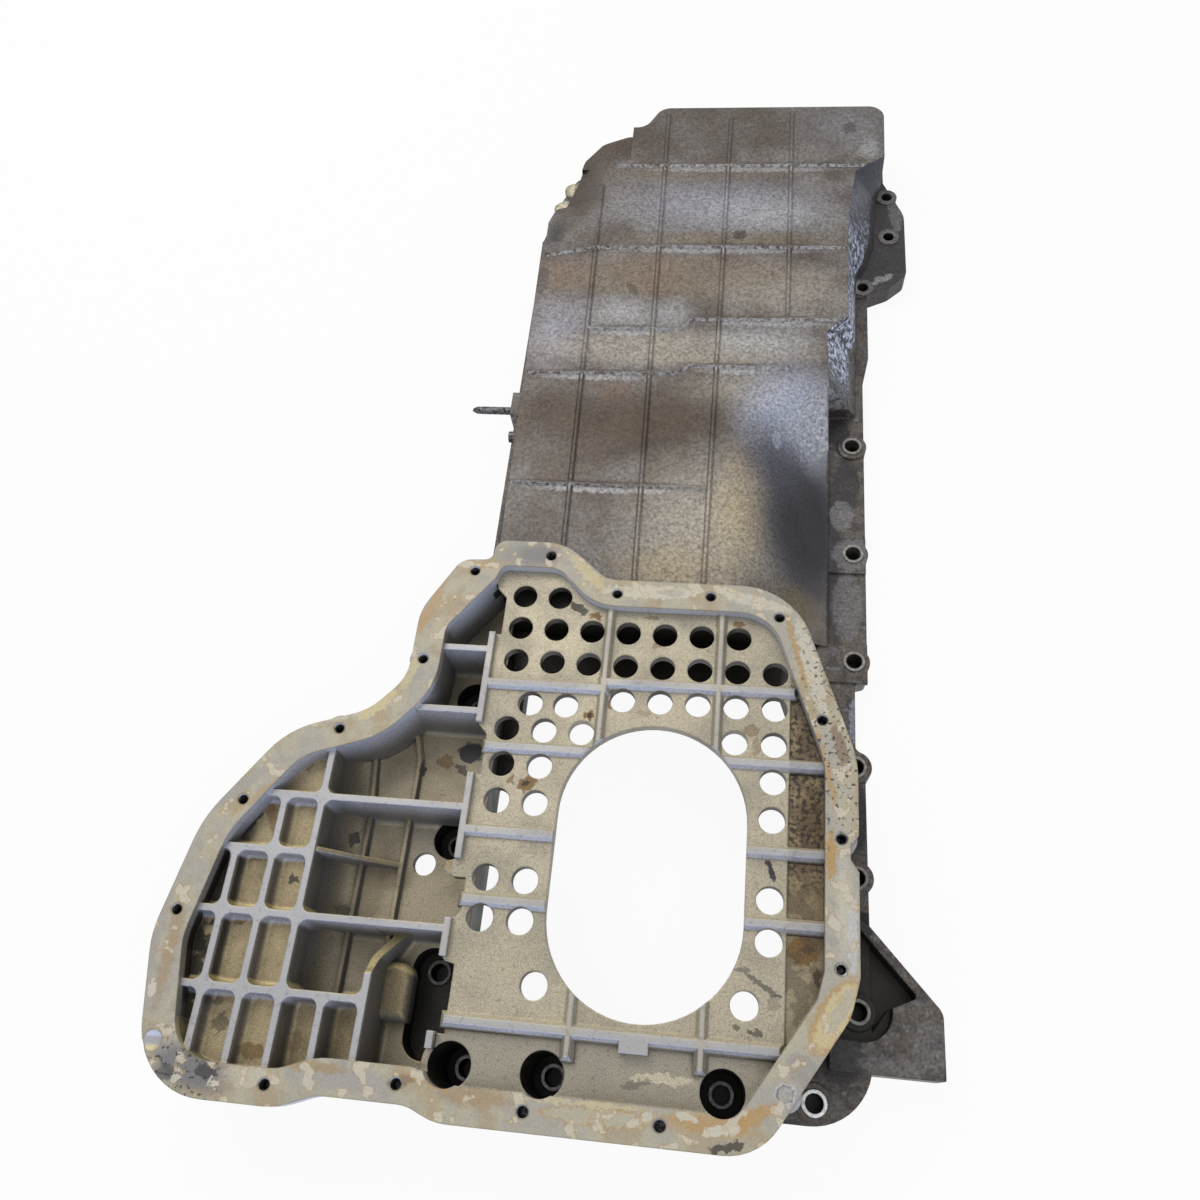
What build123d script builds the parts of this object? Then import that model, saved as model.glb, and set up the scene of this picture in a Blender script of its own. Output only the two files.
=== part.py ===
"""Upper engine oil pan: one aluminium casting with a stud, a side screw and a dowel.

Millimetres. The pan lies upside down, on the face that bolts to the engine block.
+Z points from the block face to the face that the lower sump bolts to, +Y runs along the
crankshaft from the deep part to the shallow part, and +X is to the right seen from above.
The origin is on the block face, on the crankshaft's centre line, in the rear row of bolts.
"""

import os
from math import atan2, degrees, radians, tan

from build123d import *

# Levels above the block face
RAIL_T = 12.0
WING_Z = 28.0
BUMP_Z = 38.0
BUMP_EDGE_R = 5.0
ROOF_Z = 45.0
NEAR_CELL_Z = 44.0
SHELF_Z = 51.5
NEAR_FLOOR_Z = 54.0
PLATE_Z = 57.0
SUMP_Z = 64.0
EAR_Z = 20.0

# Wall and floor thicknesses
WALL = 5.0
WING_T = 4.0
ROOF_T = 5.0
PLATE_T = 4.0
FLANGE_T = 8.0
WEB_T = 8.0
STRIP_DROP = 1.5

# Ribs: width at the top, height over the skin that they stand on, and draft in degrees
RIB_W = 3.4
RIB_H = 3.5
RIB_DRAFT = 28.0
ROOF_RIB_W = 1.3
ROOF_RIB_H = 1.7
ROOF_RIB_DRAFT = 36.0
LOW_RIB_H = 4.0
LOW_RIB_DRAFT = 12.0
CELL_DRAFT = 1.5
CELL_CORNER_R = 4.2
CELL_FLOOR_R = 3.0

# Block face
RAIL_HALF = 114.0
RAIL_NEAR_Y = -9.5
RAIL_FAR_Y = 660.0
RAIL_INNER = 91.0
OPENING_NEAR_Y = 15.0
OPENING_FAR_Y = 214.0
WEB_FAR_Y = 280.0
FRONT_END_WALL = 16.0

# Sump flange
FLANGE_W = 16.0
SUMP_RIGHT = 101.3
SUMP_NEAR_Y = -24.4
SUMP_FAR_Y = 251.5
BUMP_FAR_Y = 273.5
WING_LEFT = -240.8
SUMP_HOLE_R = 2.6
SUMP_HOLE_DEPTH = 15.0
SUMP_BOSS_R = 7.5
LEAD_IN = 0.8
DOWEL_R = 3.2
DOWEL_L = 10.0
DIMPLE_R = 5.2
DIMPLE_DEPTH = 2.0

# Perforated plate
HOLE_R = 6.7
PITCH_X = 20.0
PITCH_Y = 19.5
GRID_X = -80.0
GRID_Y = 203.0
OVAL_W = 96.0
OVAL_L = 145.0
OVAL_Y = 97.5
PLATE_RIB_X = 30.5
PLATE_RIB_Y = (190.0, 153.3, 108.8, 74.7, 19.2)
SHORT_RIB_REACH = 50.0
CROSS_RIB_NEAR_Y = 140.0
STRIP_X = 68.0
STRIP_FAR_Y = 190.0

# Bolts through the block face
BOLT_R = 4.5
SEAT_R = 6.2
SEAT_H = 1.0
BOSS_R = 9.0
BOSS_H = 1.6
TUBE_R = 10.3
TUBE_WALL = 3.2
NEAR_BOLTS_X = (-85.0, -41.2, 41.2)
CORNER_BOLT = (85.5, 0.6)
LEFT_BOLTS_Y = (43.5, 109.0, 188.5)
SIDE_BOLT_X = 106.5
RIGHT_BOLTS_Y = (43.5, 109.0, 169.0, 231.6, 302.0, 380.0)
FRONT_BOLTS = ((114.9, 512.0), (133.3, 559.0), (132.8, 597.5))
LEFT_PADS = ((-103.0, 588.0), (-97.0, 607.0))

# Wing
WING_RIB_X = (-170.5, -190.4, -210.1)
WING_RIB_Y = (24.0, 59.7, 90.8, 119.7, 171.7, 207.6)
LOW_RIB_X = (-153.0, -131.4)
SHORT_RIB_X = -149.6
CURVED_WALL_X = -129.5
COVE_R = 19.0
FALL_NEAR_Y = 36.0
FALL_END_Z = 38.0
SLOPE_RIB_W = 2.4
BORDER_X = -94.8
DRAIN = (-119.9, 95.4)
DRAIN_R = 6.0
SLOT_X = -106.0
SLOT_Y = (11.0, 43.5)

# Shallow front part
FRONT_NEAR_Y = 240.0
FRONT_LEFT = -104.0
LEDGE_Y = 595.5
ROOF_RIB_X = (-67.0, -24.0, 18.7, 62.5)
ROOF_RIB_Y = (518.0, 455.5, 416.7, 325.3)
ROOF_RIB_RIGHT = 98.0
LEDGE_CORNER_R = 11.0
SCOOP_X = 100.0
SCOOP_W = 66.0
SCOOP_DEPTH = 31.5
SCOOP_FAR_Y = 350.0
SLOPE_X = -69.5
SLOPE_NEAR_Y = 522.0
SLOPE_STEP_Y = 562.0
SLOPE_FALL = 0.28
STEEP_FALL = 0.7
CORNER_X = -52.0
CORNER_DROP = 9.0
EAR_TIP_X = 146.5
EAR_ROOT_X = 92.0
EAR_NEAR_Y = 15.5
EAR_POCKET_Z = 7.0
FRONT_EAR_X = 144.6
FRONT_EAR_T = 14.0
FRONT_BOLT_R = 3.7
PAD_OUTER_R = 15.0

# Parts screwed or pressed in
STUD_R = 2.4
STUD_L = 27.0
STUD_Y = 391.0
STUD_Z = 27.0
STUD_TIP = 3.0
STUD_DEPTH = 8.0
STUD_BOSS_X = -112.0
STUD_BOSS_HALF = 8.5
SCREW_SEAT_X = -108.0
SCREW_SEAT_HALF = 6.0
SCREW_GAP = 20.5
SCREW_Y = STUD_Y - SCREW_GAP
SCREW_R = 2.0
SCREW_HEAD_R = 3.6
SCREW_HEAD_H = 4.0
SCREW_DEPTH = 6.0

# Outline of the sump flange, clockwise from above: x, y and corner radius
BUMP_CORNERS = [(-118.0, 260.0, 10), (-100.0, 261.0, 5), (-100.0, BUMP_FAR_Y, 7)]
SUMP_CORNERS = [
    (-60.0, BUMP_FAR_Y, 30),
    (-34.0, SUMP_FAR_Y, 14),
    (67.6, SUMP_FAR_Y, 40),
    (SUMP_RIGHT, 157.4, 60),
    (SUMP_RIGHT, 53.0, 20),
    (SUMP_RIGHT - 4.3, 36.0, 24),
    (57.4, SUMP_NEAR_Y, 29),
    (-86.0, SUMP_NEAR_Y, 30),
    (-100.0, SUMP_NEAR_Y + 5.8, 20),
    (-142.0, SUMP_NEAR_Y + 5.8, 20),
    (-160.0, SUMP_NEAR_Y - 1.0, 36),
    (WING_LEFT + 12.8, SUMP_NEAR_Y - 1.0, 38),
    (WING_LEFT, 45.0, 45),
    (WING_LEFT + 10.8, 103.0, 60),
    (-196.0, 153.0, 45),
    (-154.0, 167.0, 30),
    (-136.5, 187.0, 25),
    (-136.5, 227.0, 30),
]
INNER_BUMP_CORNERS = [(-97.0, 249.0, 2), (-94.0, BUMP_FAR_Y - FLANGE_W, 5)]
FLANGE_NOTCH = [
    (SUMP_RIGHT + 5, 121.0),
    (SUMP_RIGHT, 119.0),
    (SUMP_RIGHT - 4, 113.0),
    (SUMP_RIGHT - 4, 107.0),
    (SUMP_RIGHT, 101.0),
    (SUMP_RIGHT + 5, 99.0),
]
SUMP_HOLES = [
    (-67.0, 265.0), (-109.4, 253.3), (-130.0, 198.1), (-168.3, 155.6), (-211.4, 114.1),
    (-231.3, 56.8), (-167.5, -16.5), (-106.2, -10.4), (-46.8, -16.0), (14.3, -15.7),
    (92.7, 56.4), (93.2, 116.6), (83.8, 176.8), (61.0, 233.5), (23.7, 244.0), (-27.5, 243.1),
]
DOWEL_AT = (68.3, 2.0)
DIMPLE_AT = (-226.0, -3.0)

# Left edge of the perforated plate, from the far end to the near end
PLATE_EDGE = [
    (-100.0, 262.0), (-96.0, 246.0), (-90.5, 240.5), (-90.5, 218.0), (-96.0, 218.0),
    (-96.0, 166.0), (-90.3, 160.0), (-90.3, 138.0), (-96.0, 138.0), (-96.0, 94.0),
    (-101.5, 92.0), (-101.5, 88.0), (-96.0, 85.0), (-89.7, 85.0), (-89.7, 69.0),
    (-92.0, 66.0), (-96.0, 65.0), (-96.0, 47.5), (-94.0, 45.0), (-89.0, 44.0), (-89.0, 13.0),
    (-96.0, 13.0), (-96.0, -30.0),
]
BORDER_SPANS = ((166.0, 218.0), (94.0, 138.0), (47.0, 65.0), (6.0, 13.5))

# Rows of plate holes: row number and the columns that are pierced
HOLE_ROWS = {
    2: (0, 1),
    1: (0, 1, 2, 3, 4, 5, 6),
    0: (0, 1, 2, 3, 4, 5, 6, 7),
    -1: (3, 4, 5, 6, 7),
    -2: (0, 1, 2, 6, 7),
    -3: (0, 1, 7),
    -4: (0, 1, 7),
    -6: (0, 1, 7),
    -7: (0, 1, 7),
}
EXTRA_HOLES = [(-69.1, 178.6), (-49.9, 178.6), (-49.5, 37.6), (49.5, 37.6)]

# Outline of the block flange and of the shallow part's shell
RAIL_CORNERS = [
    (-RAIL_HALF, 556.0, 12),
    (-104.0, 597.0, 8),
    (-96.0, 616.0, 8),
    (-78.0, 632.0, 8),
    (-50.0, 640.0, 6),
    (-34.0, RAIL_FAR_Y, 8),
    (131.0, RAIL_FAR_Y, 10),
    (131.0, 608.0, 4),
    (RAIL_HALF + 4, 594.0, 4),
    (RAIL_HALF + 4, 452.0, 12),
    (RAIL_HALF, 430.0, 12),
    (RAIL_HALF, 220.0, 3),
    (RAIL_HALF - 7, 218.0, 3),
    (RAIL_HALF - 7, 180.0, 3),
    (RAIL_HALF - 2, 176.0, 3),
    (RAIL_HALF, RAIL_NEAR_Y, 31),
    (-RAIL_HALF, RAIL_NEAR_Y, 31),
]
SHELL_FOOT = [
    (FRONT_LEFT - 4, 553.0), (-90.5, 596.0), (-88.0, 611.0), (-75.5, 629.0), (-57.0, 637.0),
    (-44.0, 638.0), (-34.0, 657.0), (128.0, 657.0), (128.5, 604.0), (127.0, 590.0), (125.0, 548.0),
    (119.0, 529.0), (111.5, 516.0), (111.0, 460.0), (110.5, 447.0), (110.0, 404.0),
    (92.5, 403.0), (92.0, FRONT_NEAR_Y), (FRONT_LEFT + 2, FRONT_NEAR_Y),
]
SHELL_TOP = [
    (FRONT_LEFT - 2.6, 550.0), (-88.5, 594.0), (-86.0, 609.0), (-74.0, 627.0), (-56.0, 635.0),
    (-43.0, 635.0), (-32.5, 655.0), (127.5, 655.0), (127.0, 604.0), (107.0, 590.0), (102.0, 548.0),
    (101.7, 529.0), (101.5, 516.0), (101.0, 460.0), (88.0, 447.0), (88.5, 404.0),
    (88.0, 403.0), (88.0, FRONT_NEAR_Y), (FRONT_LEFT + 2, FRONT_NEAR_Y),
]


def block(x0, x1, y0, y1, z0, z1):
    """Box between two corners."""
    return Pos(x0, y0, z0) * Box(x1 - x0, y1 - y0, z1 - z0, align=(Align.MIN,) * 3)


def post(x, y, radius, z0, z1):
    """Upright cylinder between two levels."""
    return Pos(x, y, z0) * Cylinder(radius, z1 - z0, align=(Align.CENTER, Align.CENTER, Align.MIN))


def slab(face, z0, z1):
    """Plane outline raised between two levels."""
    return Pos(0, 0, z0) * extrude(face, z1 - z0)


def rounded(corners):
    """Face inside an outline of (x, y, radius) corners."""
    points = [(x, y) for x, y, _ in corners]
    return make_face(FilletPolyline(*points, radius=[r for _, _, r in corners], close=True))


def sharp(points):
    """Face inside an outline with sharp corners."""
    return make_face(Polyline(*points, close=True))


def inset(corners, distance):
    """Clockwise outline with every side moved inwards and its corner radii to match."""
    moved = []
    for last, here, following in zip(corners[-1:] + corners[:-1], corners, corners[1:] + corners[:1]):
        arriving = (Vector(*here[:2]) - Vector(*last[:2])).normalized()
        leaving = (Vector(*following[:2]) - Vector(*here[:2])).normalized()
        inward_a = Vector(arriving.Y, -arriving.X)
        inward_b = Vector(leaving.Y, -leaving.X)
        shift = (inward_a + inward_b) * (distance / (1 + inward_a.dot(inward_b)))
        convex = arriving.cross(leaving).Z < 0
        radius = max(here[2] - distance, 2.0) if convex else here[2] + distance
        moved.append((here[0] + shift.X, here[1] + shift.Y, radius))
    return moved


def ridge(line, width, z0, z1, draft):
    """Upright rib along a line, its width measured at the top, with sloping sides."""
    x0, y0, x1, y1 = line
    spread = 2 * (z1 - z0) * tan(radians(draft))
    length = Vector(x1 - x0, y1 - y0).length + width + spread
    base = Rectangle(length, width + spread)
    turn = Rot(0, 0, degrees(atan2(y1 - y0, x1 - x0)))
    return Pos((x0 + x1) / 2, (y0 + y1) / 2, z0) * turn * extrude(base, z1 - z0, taper=draft)


def flange_inside():
    """Face inside the sump flange's inner edge."""
    first, *others = inset(SUMP_CORNERS, FLANGE_W)
    first = (first[0], BUMP_FAR_Y - FLANGE_W, first[2])
    return rounded([first] + others + INNER_BUMP_CORNERS)


def plate_face():
    """Face of the perforated plate, up to the walls on three sides."""
    right = SUMP_RIGHT + FLANGE_W
    far = BUMP_FAR_Y + FLANGE_W
    return sharp(PLATE_EDGE + [(right, PLATE_EDGE[-1][1]), (right, far), (PLATE_EDGE[0][0], far)])


def flange_ring(inside):
    """Machined flange that the lower sump bolts to."""
    outside = rounded(SUMP_CORNERS + BUMP_CORNERS) - sharp(FLANGE_NOTCH)
    return slab(outside - inside, SUMP_Z - FLANGE_T, SUMP_Z)


def deep_walls(inside, wall_outside):
    """Walls under the sump flange, cut away below the wing's floor and the roof."""
    ring = slab(wall_outside - inside, 0, SUMP_Z - FLANGE_T)
    left = WING_LEFT - FLANGE_W
    low_cut = block(left, -RAIL_HALF, SUMP_NEAR_Y - 20, BUMP_FAR_Y, -1, WING_Z - WING_T)
    high_cut = block(left, WING_RIB_X[0], SUMP_NEAR_Y - 20, BUMP_FAR_Y, -1, SHELF_Z - WING_T)
    far_cut = block(
        -RAIL_HALF, SUMP_RIGHT - FLANGE_W - WALL, OPENING_FAR_Y, BUMP_FAR_Y, -1, ROOF_Z - ROOF_T)
    return ring - low_cut - high_cut - far_cut


def block_rail():
    """Flange on the engine block, with its two openings and the web between them."""
    rail = slab(rounded(RAIL_CORNERS), 0, RAIL_T)
    right = SUMP_RIGHT - FLANGE_W
    rear_opening = rounded([
        (-RAIL_INNER, OPENING_NEAR_Y, 8), (-RAIL_INNER, 146.0, 4), (-RAIL_INNER + 9, 152.0, 4),
        (-RAIL_INNER + 9, OPENING_FAR_Y, 8), (right, OPENING_FAR_Y, 8), (right, OPENING_NEAR_Y, 8),
    ])
    front_far = RAIL_FAR_Y - FRONT_END_WALL
    front_opening = rounded([
        (-RAIL_INNER, WEB_FAR_Y, 10), (-RAIL_INNER, 572.0, 10), (-40.0, 612.0, 10),
        (-20.0, front_far, 10), (RAIL_INNER, front_far, 10), (RAIL_INNER, WEB_FAR_Y, 10),
    ])
    web_relief = block(-RAIL_INNER + 9, right, OPENING_FAR_Y - 1, WEB_FAR_Y + 1, WEB_T, RAIL_T + 1)
    rail -= slab(rear_opening, -1, RAIL_T + 1)
    rail -= slab(front_opening, -1, RAIL_T + 1)
    return rail - web_relief


def cell(x0, x1, y0, y1):
    """Rounded corners of a cell between the centre lines of four ribs."""
    half = RIB_W / 2
    r = CELL_CORNER_R
    left, right = x0 + half, x1 - half
    return [(left, y0 + half, r), (left, y1 - half, r), (right, y1 - half, r), (right, y0 + half, r)]


def wing_cells():
    """Outlines of the wing's cells; those on the flange's side are trimmed to it later."""
    step_x, cell_x, edge_x = WING_RIB_X
    y_f, y_e, y_d, y_c, y_b, y_a = WING_RIB_Y
    near = SUMP_NEAR_Y
    far = BUMP_FAR_Y
    left = WING_LEFT
    right = -RAIL_INNER + 14
    half = RIB_W / 2
    r = CELL_CORNER_R
    columns = ((left, edge_x), (edge_x, cell_x), (cell_x, step_x))
    rows = ((near, y_f), (y_f, y_e), (y_e, y_d))
    high = [cell(x0, x1, y0, y1) for x0, x1 in columns for y0, y1 in rows]
    high += [cell(left, cell_x, y_d, y_c), cell(cell_x, step_x, y_d, y_c), cell(left, step_x, y_c, far)]
    near_row = [cell(step_x, SHORT_RIB_X, near, y_f), cell(SHORT_RIB_X, CURVED_WALL_X, near, y_f)]
    low = [
        [(step_x + half, y_f + half, r), (step_x + half, y_e - half, r), (CURVED_WALL_X + 5, y_e - half, 2),
         (CURVED_WALL_X - half, y_e - 15, 12), (CURVED_WALL_X - half, y_f + half, r)],
        [(CURVED_WALL_X + half, near, 1), (CURVED_WALL_X + half, y_e - 16, 12),
         (CURVED_WALL_X + 10, y_e - half, 2), (right, y_e - half, 1), (right, near, 1)],
        cell(step_x, right, y_e, y_c),
        cell(step_x, right, y_c, y_b),
        cell(left, right, y_b, y_a),
        cell(left, right, y_a, far),
    ]
    levels = ((high, SHELF_Z), (near_row, NEAR_CELL_Z), (low, WING_Z))
    return [(rounded(outline), floor) for outlines, floor in levels for outline in outlines]


def wing(inside, wall_outside):
    """Wing as a block with drafted cells sunk into it, and the skirts on the block rail."""
    top = PLATE_Z + RIB_H
    left = WING_LEFT - FLANGE_W
    near = SUMP_NEAR_Y - 20
    low_area = sharp([
        (WING_RIB_X[0], near), (WING_RIB_X[0], BUMP_FAR_Y), (-RAIL_INNER, BUMP_FAR_Y), (-RAIL_INNER, near),
    ])
    high_area = sharp([
        (left, near), (left, BUMP_FAR_Y), (WING_RIB_X[0], BUMP_FAR_Y), (WING_RIB_X[0], near),
    ])
    body = slab(wall_outside & low_area, WING_Z - WING_T, top)
    body += slab(wall_outside & high_area, SHELF_Z - WING_T, top)
    for outline, floor in wing_cells():
        pocket = Pos(0, 0, top) * extrude(outline, floor - top, taper=CELL_DRAFT)
        pocket = fillet(pocket.faces().sort_by(Axis.Z)[0].edges(), CELL_FLOOR_R)
        body -= pocket & slab(inside, floor, top)
        if floor == NEAR_CELL_Z:
            body -= slab(inside & outline, WING_Z - WING_T - 1, floor - WING_T)
    body -= falling_wall_top(top)
    body -= block(BORDER_X + RIB_W / 2, -RAIL_INNER + 1, near, BUMP_FAR_Y, PLATE_Z - PLATE_T, top + 1)
    skirt_far = SUMP_FAR_Y - FLANGE_W
    body += block(-RAIL_INNER - WALL, -RAIL_INNER, SUMP_NEAR_Y + FLANGE_W, skirt_far, 0, WING_Z)
    body += block(-RAIL_HALF, -RAIL_HALF + WALL, SLOT_Y[0], skirt_far, 0, WING_Z)
    return body


def falling_wall_top(top):
    """Wedge that lets the curved wall's top fall towards the rib that it meets."""
    far = WING_RIB_Y[1] - RIB_W / 2
    wedge = Plane.YZ * sharp([(FALL_NEAR_Y, top), (far, FALL_END_Z), (far, top + 1), (FALL_NEAR_Y, top + 1)])
    width = 4 * CELL_CORNER_R
    return Pos(CURVED_WALL_X - RIB_W, 0, 0) * extrude(wedge, width)


def wing_details(inside):
    """Low ribs on the wing's floor, the sloping rib and the border rib of the plate."""
    top = PLATE_Z + RIB_H
    y_f, y_e, y_d, y_c, y_b, y_a = WING_RIB_Y
    low_a, low_b = LOW_RIB_X
    room = slab(inside, WING_Z - 1, top)
    lines = [
        (low_a, y_f, low_a, y_c),
        (low_a, y_c, low_a - 5, y_b - 6),
        (low_b, y_e - 5, low_b, y_b - 21),
        (low_b, y_b - 21, low_b - 8, y_b + 9),
    ]
    ribs = [room & ridge(line, RIB_W - 1, WING_Z - 1, WING_Z + LOW_RIB_H, LOW_RIB_DRAFT) for line in lines]
    step_x = WING_RIB_X[0]
    slope = Plane.XZ * sharp([
        (step_x, WING_Z - 1), (step_x, top), (low_a, WING_Z + 18), (low_b, WING_Z + LOW_RIB_H),
        (low_b, WING_Z - 1),
    ])
    ribs.append(Pos(0, y_d + RIB_W, 0) * extrude(slope, SLOPE_RIB_W))
    foot = step_x + RIB_W / 2 - 1
    cove = block(foot, foot + COVE_R + 1, y_f, BUMP_FAR_Y, WING_Z - 1, WING_Z + COVE_R)
    hollow = Pos(foot + COVE_R + 1, y_f, WING_Z + COVE_R) * Rot(-90, 0, 0) * Cylinder(
        COVE_R, BUMP_FAR_Y - y_f, align=(Align.CENTER, Align.CENTER, Align.MIN))
    ribs.append(room & (cove - hollow))
    half = RIB_W / 2
    for y0, y1 in BORDER_SPANS:
        ribs.append(block(BORDER_X - half, BORDER_X + half, y0, y1, PLATE_Z - PLATE_T, top))
    return ribs


def plate_ribs(inside):
    """Ribs on the perforated plate, trimmed to the flange's inner edge."""
    x = PLATE_RIB_X
    left = BORDER_X
    far = SUMP_FAR_Y
    short = left + 7
    oval_half = OVAL_W / 2 - 8
    y_e, y_d, y_c, y_b, near_y = PLATE_RIB_Y
    narrow = RIB_W - 1.2
    ribs = [
        ((left, y_e - 1.2, -x, y_e - 1.2), RIB_W),
        ((-x, y_e + 2.5, STRIP_X, y_e + 2.5), RIB_W),
        ((short, y_d, -x, y_d), RIB_W),
        ((x, y_d, SUMP_RIGHT, y_d), RIB_W),
        ((left, y_c, -oval_half, y_c), RIB_W),
        ((oval_half, y_c, SUMP_RIGHT, y_c), RIB_W),
        ((short, y_b, -oval_half, y_b), RIB_W),
        ((oval_half, y_b, SUMP_RIGHT, y_b), RIB_W),
        ((short, near_y, STRIP_X - 4, near_y), RIB_W),
        ((-x, CROSS_RIB_NEAR_Y, -x, far), narrow),
        ((x, CROSS_RIB_NEAR_Y, x, far), narrow),
        ((-x, near_y - 10, -x, SHORT_RIB_REACH), narrow),
        ((x, near_y - 10, x, SHORT_RIB_REACH), narrow),
    ]
    border = BORDER_X - RIB_W / 2
    wing_side = block(
        WING_LEFT - FLANGE_W, border, SUMP_NEAR_Y - FLANGE_W, BUMP_FAR_Y + FLANGE_W, 0, SUMP_Z)
    room = slab(inside, NEAR_FLOOR_Z - 1, SUMP_Z) - wing_side
    base = PLATE_Z - 1
    top = PLATE_Z + RIB_H
    solids = [room & ridge(line, width, base, top, RIB_DRAFT) for line, width in ribs]
    half = RIB_W / 2
    solids.append(block(-2 * RIB_W, 2 * RIB_W, near_y - 7, near_y + half, NEAR_FLOOR_Z - 1, top))
    solids.append(block(short, STRIP_X - 3, near_y - half, near_y + half, NEAR_FLOOR_Z - 1, PLATE_Z))
    return solids


def plate(inside_wall):
    """Plate across the deep part, its lower strip on the right and the near floor."""
    area = inside_wall & plate_face()
    body = slab(area, PLATE_Z - PLATE_T - STRIP_DROP, PLATE_Z)
    strip = block(STRIP_X, SUMP_RIGHT, RAIL_NEAR_Y, STRIP_FAR_Y, PLATE_Z - STRIP_DROP, PLATE_Z + 1)
    near = block(-RAIL_HALF, SUMP_RIGHT, SUMP_NEAR_Y, PLATE_RIB_Y[-1], NEAR_FLOOR_Z, PLATE_Z + 1)
    return body - strip - near


def plate_openings():
    """Grid of drain holes and the oval pickup opening."""
    oval = Pos(0, OVAL_Y) * SlotOverall(OVAL_L, OVAL_W, rotation=90)
    under = PLATE_Z - PLATE_T - STRIP_DROP - 1
    cuts = [slab(oval, under, SUMP_Z)]
    places = [(GRID_X + PITCH_X * column, GRID_Y + PITCH_Y * row)
              for row, columns in HOLE_ROWS.items() for column in columns]
    return cuts + [post(x, y, HOLE_R, under, SUMP_Z) for x, y in places + EXTRA_HOLES]


def front_shell():
    """Shallow front part's outside and its hollow, both narrowing towards the roof."""
    foot = sharp(SHELL_FOOT)
    top = sharp(SHELL_TOP)
    outer = loft([Pos(0, 0, RAIL_T - 1) * foot, Pos(0, 0, ROOF_Z) * top], ruled=True)
    corners = outer.edges().filter_by_position(Axis.Y, LEDGE_Y, RAIL_FAR_Y).filter_by(
        lambda edge: abs(edge.tangent_at(0.5).Z) > 0.7 and edge.center().Y > LEDGE_Y + LEDGE_CORNER_R)
    outer = fillet(corners, LEDGE_CORNER_R)
    inner_foot = offset(foot, -WALL, kind=Kind.INTERSECTION)
    inner_top = offset(top, -WALL, kind=Kind.INTERSECTION)
    inner = loft([Pos(0, 0, RAIL_T - 2) * inner_foot, Pos(0, 0, ROOF_Z - ROOF_T) * inner_top], ruled=True)
    return outer, inner


def scoop(skin):
    """Smooth round-ended trough along the right side, or its skin's lower face."""
    top = ROOF_Z - skin
    bottom = top - SCOOP_DEPTH
    rim = SCOOP_X - SCOOP_W
    curve = Spline((rim, 0, top), (SCOOP_X, 0, bottom), tangents=[(1, 0, 0), (1, 0, 0)])
    lid = SUMP_Z + skin
    sides = Polyline((SCOOP_X, 0, bottom), (SCOOP_X, 0, lid), (rim, 0, lid), (rim, 0, top))
    section = make_face(curve + sides)
    trough = Pos(0, SCOOP_FAR_Y, 0) * extrude(section, SCOOP_FAR_Y - OPENING_FAR_Y, dir=(0, -1, 0))
    end = Pos(0, SCOOP_FAR_Y, 0) * revolve(section, Axis((SCOOP_X, 0, 0), (0, 0, 1)), 360)
    return trough + end


def left_slope(skin):
    """Falling roof at the shallow part's far left and its low corner, or the skin under them."""
    top = ROOF_Z - skin
    reach = FRONT_LEFT - FLANGE_W
    cuts = []
    corner_y = LEDGE_Y + 6
    for near, far, fall in ((SLOPE_NEAR_Y, SLOPE_STEP_Y, SLOPE_FALL), (SLOPE_STEP_Y, corner_y, STEEP_FALL)):
        low = top - fall * (SLOPE_X - reach)
        side = Plane.XZ * sharp([(SLOPE_X, top), (reach, low), (reach, SUMP_Z), (SLOPE_X, SUMP_Z)])
        cuts.append(Pos(0, far + skin, 0) * extrude(side, far - near + 2 * skin))
    cuts.append(block(reach, CORNER_X + skin, corner_y - skin, RAIL_FAR_Y, top - CORNER_DROP, SUMP_Z))
    return cuts


def roof_ribs():
    """Rib grid on the shallow part's roof."""
    x1, x2, x3, x4 = ROOF_RIB_X
    y4, y3, y2, y1 = ROOF_RIB_Y
    left = FRONT_LEFT + 3
    right = ROOF_RIB_RIGHT
    bend = -9.0
    end = SUMP_FAR_Y + 10
    lines = [
        (x1 + 6, LEDGE_Y, SHELL_TOP[7][0] - 5, LEDGE_Y),
        (left, y4 - 8, x1, y4 - 0.5),
        (x1, y4 - 0.5, right, y4 + 0.5),
        (x1, y3 - 9.5, bend, y3 - 9.5),
        (bend, y3 - 9.5, bend + 11, y3 - 0.5),
        (bend + 11, y3 - 0.5, right, y3 + 1),
        (left, y2 - 8, bend, y2 - 6),
        (bend, y2 - 6, bend + 10, y2),
        (bend + 10, y2, x4, y2),
        (left, y1, x3 - 3, y1),
        (x1 - 2.5, LEDGE_Y - 21, x1 + 3, end),
        (x2 - 3, RAIL_FAR_Y - 14, x2 + 3, end),
        (x3, RAIL_FAR_Y - 18, x3, end),
        (x4, RAIL_FAR_Y - 12, x4, y3),
    ]
    return [ridge(line, ROOF_RIB_W, ROOF_Z - 0.5, ROOF_Z + ROOF_RIB_H, ROOF_RIB_DRAFT) for line in lines]


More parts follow.
